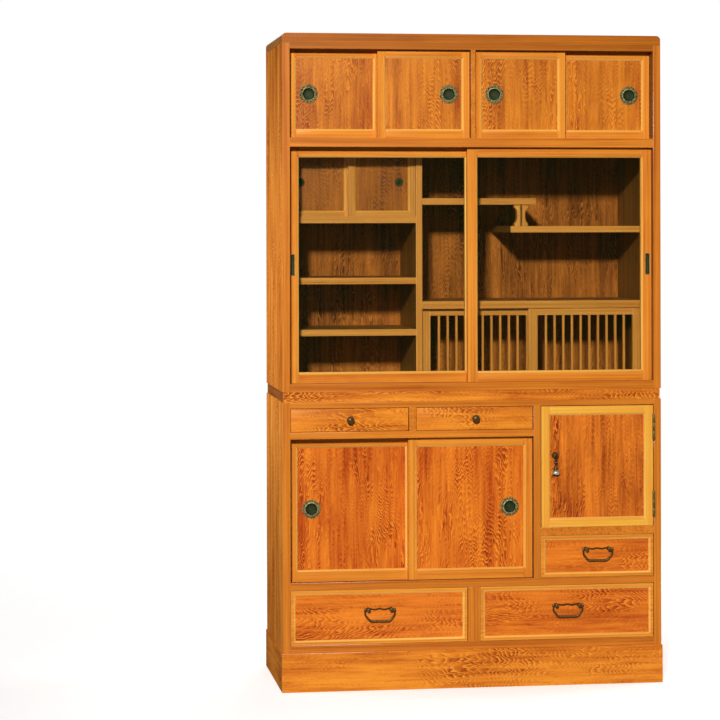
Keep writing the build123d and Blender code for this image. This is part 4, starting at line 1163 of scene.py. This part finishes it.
def bail(node):
    """Hanging bail: a bent rod, thicker at the grip, with eyes and inward pins."""
    low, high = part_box(node)
    eye_radius = 0.004
    x, y, pivot = (low.x + high.x) / 2, (low.y + high.y) / 2, high.z - eye_radius
    pin_end, half_span, shoulder = 0.0265, 0.041, 0.027
    elbow_drop, grip_drop = 0.014, 0.031
    pin_bend, grip_bend = 0.0025, 0.013
    pin_reach, pin_drop, pin_radius = 0.0386, 0.006, 0.002
    leg_radius, grip_swell, swell_start, swell_run = 0.0023, 0.0007, 0.008, 0.02
    most_rub, rub_start, rub_run = 0.5, 0.012, 0.04
    half = [(pin_end, 0), (half_span, 0), (half_span, -elbow_drop), (shoulder, -grip_drop)]
    outline = [(-across, up) for across, up in half] + half[::-1]
    bends = [pin_bend] + [grip_bend] * 4 + [pin_bend]
    path = rounded_path([Vector((x + across, y, pivot + up)) for across, up in outline], bends)
    radii, rub = [], []
    for point in path:
        across, down = abs(point.x - x), pivot - point.z
        if across < pin_reach and down < pin_drop:
            radii.append(pin_radius)
        else:
            radii.append(leg_radius + grip_swell * min(1, max(0, (down - swell_start) / swell_run)))
        rub.append(min(most_rub, max(0, (down - rub_start) / rub_run)))
    solid = bmesh.new()
    bent_rod(solid, path, radii, rub)
    eye_profile = [(0, -0.003, 0.3), (0.0032, -0.003, 0.5), (0.0039, -0.002, 0.6), (0.0039, 0.002, 0.6),
                   (0.0032, 0.003, 0.5), (0, 0.003, 0.3)]
    sideways = Matrix.Rotation(math.radians(90), 4, "Y")
    for side in (-1, 1):
        turned(solid, eye_profile, Matrix.Translation((x + side * half_span, y, pivot)) @ sideways, 28)
    metal_piece(node + "_bent", solid, finish("bail_patina"), body_of(node), "bail_metal", [node])


# Hinged door's fittings

DROP_EYE = 0.0036    # radius of the drop's eye, whose middle is its pivot


def drop(node):
    """Bell-shaped drop: a flat eye, a turned neck with a bead, and a flared bell."""
    low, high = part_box(node)
    x, y = (low.x + high.x) / 2, (low.y + high.y) / 2
    pivot = high.z - DROP_EYE
    half_thickness, tab_foot, steps = 0.0019, -0.0150, 14
    bore_reach, bore_radius = 0.003, 0.0016
    solid = bmesh.new()
    profile = [
        (0, -0.052, 0.9), (0.0078, -0.052, 0.9), (0.0094, -0.0512, 1.0), (0.01, -0.0488, 1.0),
        (0.0099, -0.0465, 0.9), (0.0088, -0.0432, 0.5), (0.0070, -0.0395, 0.1), (0.0054, -0.0355, 0.0),
        (0.0042, -0.0315, 0.0), (0.0036, -0.0272, 0.0), (0.0033, -0.0232, 0.0), (0.0036, -0.0205, 0.0),
        (0.0049, -0.0195, 0.15), (0.0052, -0.0182, 0.2), (0.0049, -0.0169, 0.15), (0.0036, -0.0160, 0.0),
        (0.0036, -0.0140, 0.0), (0, -0.0140, 0.0),
    ]
    turned(solid, profile, Matrix.Translation((x, y, pivot)), 40)
    turns = [math.pi * step / steps for step in range(steps + 1)]
    tab = [(-DROP_EYE, tab_foot), (DROP_EYE, tab_foot)]
    tab += [(DROP_EYE * math.cos(turn), DROP_EYE * math.sin(turn)) for turn in turns]
    wear = wear_layer(solid)
    sides = [[solid.verts.new((x + side * half_thickness, y + across, pivot + up)) for across, up in tab]
             for side in (-1, 1)]
    for vert in sides[0] + sides[1]:
        vert[wear] = 0.0
    skin_rows(solid, sides)
    bore = rod_mesh(Vector((x - bore_reach, y, pivot)), Vector((x + bore_reach, y, pivot)), bore_radius)
    cut_away(solid, bore)
    metal_piece(node + "_turned", solid, finish("drop_patina"), body_of(node), "bail_metal", [node])


def drop_boss(node):
    """Domed boss slotted for the drop's eye, crossed by the drop's pin."""
    low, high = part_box("hinged_door_drop")
    x, pivot_y, pivot = (low.x + high.x) / 2, (low.y + high.y) / 2, high.z - DROP_EYE
    stand_off, slot_width, slot_depth, slot_height = 0.011, 0.0048, 0.0204, 0.0240
    slot_reach, slot_drop = 0.0172, 0.0080    # from the door's face and the pivot to the slot's middle
    half, pin_radius = 0.0060, 0.00145
    face = pivot_y + stand_off
    solid = bmesh.new()
    profile = [
        (0, -0.008, 0), (0.003, -0.008, 0), (0.003, 0, 0), (0.0095, 0, 0.1), (0.0095, 0.0012, 0.2),
        (0.0088, 0.0022, 0.1), (0.0078, 0.0028, 0.0), (0.0078, 0.0040, 0.0), (0.0084, 0.0050, 0.1),
        (0.0084, 0.0072, 0.1), (0.0078, 0.0096, 0.1), (0.0066, 0.0116, 0.15), (0.0046, 0.0131, 0.2),
        (0.0022, 0.0139, 0.2), (0, 0.0140, 0.2),
    ]
    turned(solid, profile, facing_front(Vector((x, face, pivot))), 40)
    slot = bmesh.new()
    slot_place = Matrix.Translation((x, face - slot_reach, pivot - slot_drop))
    slot_size = Matrix.Diagonal((slot_width, slot_depth, slot_height, 1))
    bmesh.ops.create_cube(slot, size=1.0, matrix=slot_place @ slot_size)
    cut_away(solid, slot)
    pin = rod_mesh(Vector((x - half, pivot_y, pivot)), Vector((x + half, pivot_y, pivot)), pin_radius)
    pour_into(solid, pin)
    metal_piece("hinged_door_drop_boss", solid, finish("bail_patina"), body_of(node), "hinge_metal")


def hinge_leaves(node):
    """Brass hinge leaves and knuckles with eased edges."""
    source = frame["nodes"][node].data
    whole = bmesh.new()
    for run in closed_runs(source)[:HINGES]:
        leaf = merged_solid(source, run)
        ease_edges(leaf, width=0.00015)
        wear = wear_layer(leaf)
        arris = leaf.faces.layers.float["arris"]
        for vert in leaf.verts:
            vert[wear] = 0.1 + 0.5 * max(face[arris] for face in vert.link_faces)
        pour_into(whole, leaf)
    metal_piece(node + "_leaves", whole, finish("hinge_brass"), body_of(node), "hinge_metal", [node])


def hinge_screws(node, facing):
    """Three slotted screws on each leaf; facing is -1 or 1 along X."""
    fittings = bpy.context.scene.fittings
    source = frame["nodes"][node].data
    leaf_flat = {-1: 0.5090, 1: 0.5070}[facing]    # where the leaves' flats lie along X
    from_rear, stagger = 0.009, 0.0035
    places = []
    for run in closed_runs(source)[:HINGES]:
        leaf = merged_solid(source, run)
        low, size = bounds_of(leaf)
        leaf.free()
        middle_y = low.y + size.y - from_rear
        for share_up, shift in ((0.17, 0.0), (0.5, stagger), (0.83, 0.0)):
            places.append((leaf_flat, middle_y + shift, low.z + size.z * share_up))
    values = {"Head Radius": fittings.screw_radius, "Head Height": fittings.screw_height, "Seed": 4,
              "Facing": (0.0, math.radians(90 * facing), 0.0), "Material": finish("hinge_brass")}
    grown(node + "_screws", points_mesh(places), screw_tree(), values, body_of(node), "hinge_metal")


# Lattice, strut and nails

def lattice_bars(node):
    """Upright bars tenoned into a lattice door's rails."""
    source = frame["nodes"][node].data
    boxes = []
    for run in closed_runs(source)[FRAME_MEMBERS:]:
        bar = merged_solid(source, run)
        boxes.append(bounds_of(bar))
        bar.free()
    boxes.sort(key=lambda pair: pair[0].x)
    low, size = boxes[0]
    pitch = (boxes[-1][0].x - low.x) / (len(boxes) - 1)
    values = {"Bars": len(boxes), "Pitch": pitch, "Bar Size": size, "First Bar": low + size / 2,
              "Material": finish("cedar_shelf")}
    grown(node + "_bars", points_mesh([(0, 0, 0)]), lattice_tree(), values, body_of(node), "lattice_wood")


def strut(node):
    """Carved strut with flowing sides and a groove down its front, between a flange at each end."""
    low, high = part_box(node)
    middle_x, half = (low.x + high.x) / 2, (high.x - low.x) / 2
    height, waist, foot = high.z - low.z, 0.0110, 0.0190
    flange, shoulder, shoulder_width, eased, end_inset = 0.0085, 0.001, 0.0022, 0.0008, 0.0006
    groove, groove_depth, least_depth = 0.003, 0.009, 0.00002
    levels = 22
    carved_height = height - 2 * flange - 2 * shoulder
    stations = [0, eased, flange, flange + shoulder]
    stations += [flange + shoulder + carved_height * step / levels for step in range(1, levels)]
    stations += [height - flange - shoulder, height - flange, height - eased, height]
    solid = bmesh.new()
    rows = []
    for z in stations:
        t = min(1, max(0, (z - flange) / (height - 2 * flange)))
        end = foot if t < 0.5 else half
        width = end
        if flange < z < height - flange:
            width = waist + (end - shoulder_width - waist) * abs(2 * t - 1) ** 2.6
        inset = end_inset if z in (0, height) else 0.0
        depth = groove_depth * max(0, min(1, min(t, 1 - t) * 12)) + least_depth
        front, rear, edge = low.y + inset, high.y - inset, width - inset
        row = [(-edge, front), (-groove, front), (-groove * 0.7, front + depth),
               (groove * 0.7, front + depth), (groove, front), (edge, front), (edge, rear), (-edge, rear)]
        rows.append([solid.verts.new((middle_x + x, y, low.z + z)) for x, y in row])
    # The groove's faces take the darker inside wood as painted shade in the recess.
    for place, face in enumerate(skin_rows(solid, rows)):
        in_groove = place % len(rows[0]) in (1, 2, 3)
        face.material_index = 1 if in_groove else 0
    solid.faces.layers.float.new("arris")
    bmesh.ops.recalc_face_normals(solid, faces=solid.faces[:])
    lay_grain(solid, low, high - low, random.Random(node), UPRIGHT)
    mesh = bpy.data.meshes.new(node + "_carved")
    solid.to_mesh(mesh)
    solid.free()
    mesh.materials.append(finish("cedar_shelf"))
    mesh.materials.append(finish("cedar_inside"))
    settle(mesh_object(node + "_carved", mesh), body_of(node), "shelf_wood", node)


def back_nails():
    """Small nails round both back panels."""
    fittings = bpy.context.scene.fittings
    source = frame["nodes"]["back_panels"].data
    side_inset, side_end, rail_inset, rail_end = 0.015, 0.025, 0.014, 0.04
    places = []
    for run in closed_runs(source):
        panel = merged_solid(source, run)
        low, size = bounds_of(panel)
        panel.free()
        rear = low.y + size.y
        tall, wide = size.z - 2 * side_end, size.x - 2 * rail_end
        count = int(tall / fittings.nail_pitch)
        for across in (0, size.x - 2 * side_inset):
            places += [(low.x + side_inset + across, rear, low.z + side_end + tall * step / count)
                       for step in range(count + 1)]
        count = int(wide / fittings.nail_pitch)
        for up in (rail_inset, size.z - rail_inset):
            places += [(low.x + rail_end + wide * step / count, rear, low.z + up)
                       for step in range(count + 1)]
    values = {"Head Radius": fittings.nail_radius, "Material": finish("hinge_brass")}
    grown("back_panel_nails", points_mesh(places), nail_tree(), values, "case", "hinge_metal")


# Stage

KEY_AIM = (0, -0.2, 0.95)
# Soft lamps: place, point that they face, width and height, spread in degrees, name of their power.
SOFT_LAMPS = {
    "left_lamp": ((-1.85, 0.1, 1.15), (-0.53, 0.0, 1.15), (0.6, 0.6), 120, "left_power"),
    "top_lamp": ((-0.2, -1.8, 4.6), (0, -0.2, 0.9), (1.6, 0.9), 180, "top_power"),
    "right_lamp": ((3.4, 0.9, 1.7), (0.53, 0.0, 0.9), (1.6, 2.2), 180, "right_power"),
    "back_lamp": ((1.1, 4.2, 1.9), (0.0, 0.2, 0.9), (2.2, 2.2), 180, "back_power"),
}


def make_camera(stage):
    """Camera for the front view."""
    data = bpy.data.cameras.new("front_camera")
    data.lens = stage.camera_lens
    data.sensor_width = 36
    data.shift_x, data.shift_y = stage.shift_x, stage.shift_y
    camera = bpy.data.objects.new("front_camera", data)
    bpy.context.scene.collection.objects.link(camera)
    yaw, roll = stage.camera_yaw, stage.camera_roll
    level = Vector((math.cos(yaw), -math.sin(yaw), 0))
    ahead = Vector((math.sin(yaw), math.cos(yaw), 0))
    upright = Vector((0, 0, 1))
    right = level * math.cos(roll) + upright * math.sin(roll)
    up = upright * math.cos(roll) - level * math.sin(roll)
    turn = Matrix((right, up, -ahead)).transposed().to_4x4()
    camera.matrix_world = Matrix.Translation(stage.camera_place) @ turn
    bpy.context.scene.camera = camera


def make_lamp(name, place, aim, size, spread_angle, watts):
    """Soft rectangular lamp that faces a point."""
    data = bpy.data.lights.new(name, "AREA")
    data.spread = math.radians(spread_angle)
    data.shape = "RECTANGLE"
    data.size, data.size_y = size
    data.energy = watts
    lamp = bpy.data.objects.new(name, data)
    bpy.context.scene.collection.objects.link(lamp)
    turn = (Vector(aim) - Vector(place)).to_track_quat("-Z", "Y").to_matrix().to_4x4()
    lamp.matrix_world = Matrix.Translation(place) @ turn
    lamp.visible_camera = False


def background_share(tree):
    """1 where the camera looks straight at something, or through a pane or a reflection at it."""
    path = add(tree, "ShaderNodeLightPath")
    seen = calc(tree, "MAXIMUM", path.outputs["Is Camera Ray"], path.outputs["Is Glossy Ray"])
    seen = calc(tree, "MAXIMUM", seen, path.outputs["Is Transmission Ray"])
    return calc(tree, "MULTIPLY", seen, calc(tree, "LESS_THAN", path.outputs["Diffuse Depth"], 0.5))


def make_world(stage):
    """White background, with a dimmer light from all round."""
    world = bpy.data.worlds.new("studio")
    world.use_nodes = True
    bpy.context.scene.world = world
    tree = world.node_tree
    background = tree.nodes["Background"]
    background.inputs["Color"].default_value = (1, 1, 1, 1)
    strength = calc(tree, "MULTIPLY_ADD", background_share(tree), 1 - stage.room_light, stage.room_light)
    tree.links.new(strength, background.inputs["Strength"])


def flat_mesh(name, corners):
    """One flat face."""
    mesh = bpy.data.meshes.new(name)
    mesh.from_pydata(corners, [], [list(range(len(corners)))])
    return mesh


def make_floor(stage):
    """Pale floor that keeps the cabinet's shadow and fades into the background."""
    reach, whole_to, clear_from = 8, 1.2, 3.2
    mesh = flat_mesh("floor", [(x * reach, y * reach, 0) for x, y in ((-1, -1), (1, -1), (1, 1), (-1, 1))])
    material, tree, shader = new_material("pale_floor")
    place = add(tree, "ShaderNodeTexCoord").outputs["Object"]
    cloud = noise(tree, place, (0.6, 0.6, 0.6), 2.0)
    share_seen = background_share(tree)
    bounced = blend(tree, cloud, [c * 0.985 for c in stage.floor_colour], tuple(stage.floor_colour))
    seen = blend(tree, cloud, [c * 0.985 for c in stage.floor_seen], tuple(stage.floor_seen))
    tree.links.new(blend(tree, share_seen, bounced, seen), shader.inputs["Base Color"])
    shader.inputs["Roughness"].default_value = 0.8
    shader.inputs["Specular IOR Level"].default_value = 0.0
    shader.inputs["Emission Color"].default_value = (1, 1, 1, 1)
    glow = calc(tree, "MULTIPLY", share_seen, stage.floor_glow)
    tree.links.new(glow, shader.inputs["Emission Strength"])
    distance = add(tree, "ShaderNodeVectorMath", {0: place}, operation="LENGTH").outputs["Value"]
    fade = spread(tree, distance, whole_to, clear_from)
    clear = result(tree, "ShaderNodeBsdfTransparent")
    mix = result(tree, "ShaderNodeMixShader", {0: fade, 1: shader.outputs[0], 2: clear})
    tree.links.new(mix, tree.nodes["Material Output"].inputs["Surface"])
    mesh.materials.append(material)
    floor = mesh_object("floor", mesh)
    floor.visible_glossy = False


def make_curtain(name, left, right, bottom, top, y):
    """Dark green curtain that only the panes and the lacquer mirror."""
    mesh = flat_mesh(name, [(left, y, bottom), (right, y, bottom), (right, y, top), (left, y, top)])
    material, _, shader = new_material(name + "_cloth")
    shader.inputs["Base Color"].default_value = (0.01, 0.01, 0.01, 1)
    shader.inputs["Specular IOR Level"].default_value = 0.0
    shader.inputs["Emission Color"].default_value = (*shade(44, 80, 44), 1)
    shader.inputs["Emission Strength"].default_value = 1.0
    mesh.materials.append(material)
    curtain = mesh_object(name, mesh)
    for ray in ("camera", "diffuse", "shadow"):
        setattr(curtain, "visible_" + ray, False)


# Operators

INNER_BOARDS = ("lower_bottom_board", "lower_mid_board", "lower_top_board", "lower_partition",
                "lower_shelves", "drawer_dividers", "upper_mid_board", "upper_bottom_board")


class CABINET_OT_cases(bpy.types.Operator):
    """Finish the boards of both cases, the plinth and the waist band"""
    bl_idname = "cabinet.cases"
    bl_label = "Cases"

    def execute(self, context):
        dress_boards("plinth", "plinth_wood", first_figured)
        dress_boards("waist_band", "plinth_wood", first_figured, paint=painted_shade_ends)
        for node in ("lower_sides", "upper_sides"):
            dress_boards(node, "case_wood", one_finish("cedar_side"), paint=side_faces)
        for node in INNER_BOARDS:
            dress_boards(node, "case_wood", one_finish("cedar_case"), paint=painted_shade_behind)
        dress_boards("upper_partitions", "case_wood", partition_boards, paint=painted_shade_behind)
        dress_boards("guides_and_stops", "hidden_wood", one_finish("cedar_hidden"))
        dress_boards("upper_top_board", "case_wood", one_finish("cedar_top"), paint=painted_shade_below)
        return {"FINISHED"}


class CABINET_OT_backs(bpy.types.Operator):
    """Finish the back panels and nail them on"""
    bl_idname = "cabinet.backs"
    bl_label = "Backs"

    def execute(self, context):
        dress_boards("back_panels", "back_wood", one_finish("cedar_back"), UPRIGHT, panel_faces)
        back_nails()
        return {"FINISHED"}


class CABINET_OT_display(bpy.types.Operator):
    """Finish the shelves of the display and carve its strut"""
    bl_idname = "cabinet.display"
    bl_label = "Display"

    def execute(self, context):
        dress_boards("display_shelves", "shelf_wood", one_finish("cedar_shelf"), paint=painted_shade_behind)
        strut("shelf_strut")
        return {"FINISHED"}


class CABINET_OT_top_doors(bpy.types.Operator):
    """Finish the four sliding doors at the top"""
    bl_idname = "cabinet.top_doors"
    bl_label = "Top Doors"

    def execute(self, context):
        for number in range(1, 5):
            dress_door(f"top_door_{number}", "cedar_door_frame", "cedar_upper_panel")
            round_pull(f"top_door_{number}_pull")
        return {"FINISHED"}


class CABINET_OT_glass_doors(bpy.types.Operator):
    """Finish the two glazed doors and their panes"""
    bl_idname = "cabinet.glass_doors"
    bl_label = "Glass Doors"

    def execute(self, context):
        for side in ("left", "right"):
            dress_boards(f"glass_door_{side}_frame", "door_wood", one_finish("cedar_door_frame"),
                         paint=highlit_bevel_faces("cedar_bevel"))
            dress_pane(f"glass_door_{side}_pane")
            slot_pull(f"glass_door_{side}_pull")
        return {"FINISHED"}


class CABINET_OT_inner_doors(bpy.types.Operator):
    """Finish the small doors and the lattice doors inside the display"""
    bl_idname = "cabinet.inner_doors"
    bl_label = "Inner Doors"

    def execute(self, context):
        for side in ("left", "right"):
            dress_door(f"small_door_{side}", "cedar_shelf", "cedar_inner_panel", "cedar_inner_bevel")
            round_pull(f"small_door_{side}_pull")
            lattice = f"lattice_door_{side}"
            dress_boards(lattice, "lattice_wood", one_finish("cedar_shelf"),
                         paint=highlit_bevel_faces("cedar_inner_bevel"), kept=FRAME_MEMBERS)
            lattice_bars(lattice)
        return {"FINISHED"}


class CABINET_OT_lower_doors(bpy.types.Operator):
    """Finish the two large sliding doors"""
    bl_idname = "cabinet.lower_doors"
    bl_label = "Lower Doors"

    def execute(self, context):
        for side in ("left", "right"):
            dress_door(f"lower_door_{side}", "cedar_door_frame", "cedar_lower_panel")
            round_pull(f"lower_door_{side}_pull")
        return {"FINISHED"}


class CABINET_OT_hinged_door(bpy.types.Operator):
    """Finish the hinged door, its hinges, boss and drop"""
    bl_idname = "cabinet.hinged_door"
    bl_label = "Hinged Door"

    def execute(self, context):
        dress_door("hinged_door", "cedar_hinged_frame", "cedar_hinged_panel")
        hinge_leaves("case_hinge_leaves")
        hinge_leaves("hinged_door_fittings")
        hinge_screws("case_hinge_leaves", -1)
        hinge_screws("hinged_door_fittings", 1)
        drop_boss("hinged_door_fittings")
        drop("hinged_door_drop")
        return {"FINISHED"}


class CABINET_OT_drawers(bpy.types.Operator):
    """Finish the five drawers, their knobs and their bails"""
    bl_idname = "cabinet.drawers"
    bl_label = "Drawers"

    def execute(self, context):
        for side in ("left", "right"):
            dress_boards(f"small_drawer_{side}", "drawer_wood", drawer_boards)
            knob(f"small_drawer_{side}_knob")
        for drawer in ("right_drawer", "bottom_drawer_left", "bottom_drawer_right"):
            dress_drawer(drawer)
            bail_posts(drawer + "_posts")
            bail(drawer + "_bail")
        return {"FINISHED"}


class CABINET_OT_stage(bpy.types.Operator):
    """Set up the camera, lamps, floor and background"""
    bl_idname = "cabinet.stage"
    bl_label = "Stage"

    def execute(self, context):
        stage = context.scene.stage
        context.scene.view_settings.view_transform = "Standard"
        make_camera(stage)
        make_world(stage)
        make_floor(stage)
        make_curtain("front_curtain", left=-9, right=8, bottom=-4, top=9, y=-9.5)
        make_curtain("rear_curtain", left=-7, right=-0.7, bottom=-4, top=6, y=6)
        key_size = (stage.key_size, stage.key_size)
        make_lamp("key_lamp", stage.key_place, KEY_AIM, key_size, 180, stage.key_power)
        for name, (place, aim, size, spread_angle, watts) in SOFT_LAMPS.items():
            make_lamp(name, place, aim, size, spread_angle, getattr(stage, watts))
        return {"FINISHED"}


STEPS = (CABINET_OT_cases, CABINET_OT_backs, CABINET_OT_display, CABINET_OT_top_doors,
         CABINET_OT_glass_doors, CABINET_OT_inner_doors, CABINET_OT_lower_doors, CABINET_OT_hinged_door,
         CABINET_OT_drawers, CABINET_OT_stage)


class CABINET_PT_finish(bpy.types.Panel):
    """Steps and settings of the cabinet's finish."""
    bl_label = "Cabinet"
    bl_space_type = "VIEW_3D"
    bl_region_type = "UI"
    bl_category = "Cabinet"

    def draw(self, context):
        for step in STEPS:
            self.layout.operator(step.bl_idname)
        for settings in (context.scene.cedar, context.scene.fittings, context.scene.stage):
            box = self.layout.box()
            for name in settings.__annotations__:
                box.prop(settings, name)


CLASSES = (CedarSettings, FittingSettings, StageSettings, *STEPS, CABINET_PT_finish)


def register():
    for item in CLASSES:
        bpy.utils.register_class(item)
    bpy.types.Scene.cedar = PointerProperty(type=CedarSettings)
    bpy.types.Scene.fittings = PointerProperty(type=FittingSettings)
    bpy.types.Scene.stage = PointerProperty(type=StageSettings)


def unregister():
    del bpy.types.Scene.cedar, bpy.types.Scene.fittings, bpy.types.Scene.stage
    for item in reversed(CLASSES):
        bpy.utils.unregister_class(item)


def main():
    register()
    for step in STEPS:
        group, name = step.bl_idname.split(".")
        getattr(getattr(bpy.ops, group), name)()


if __name__ == "__main__":
    main()
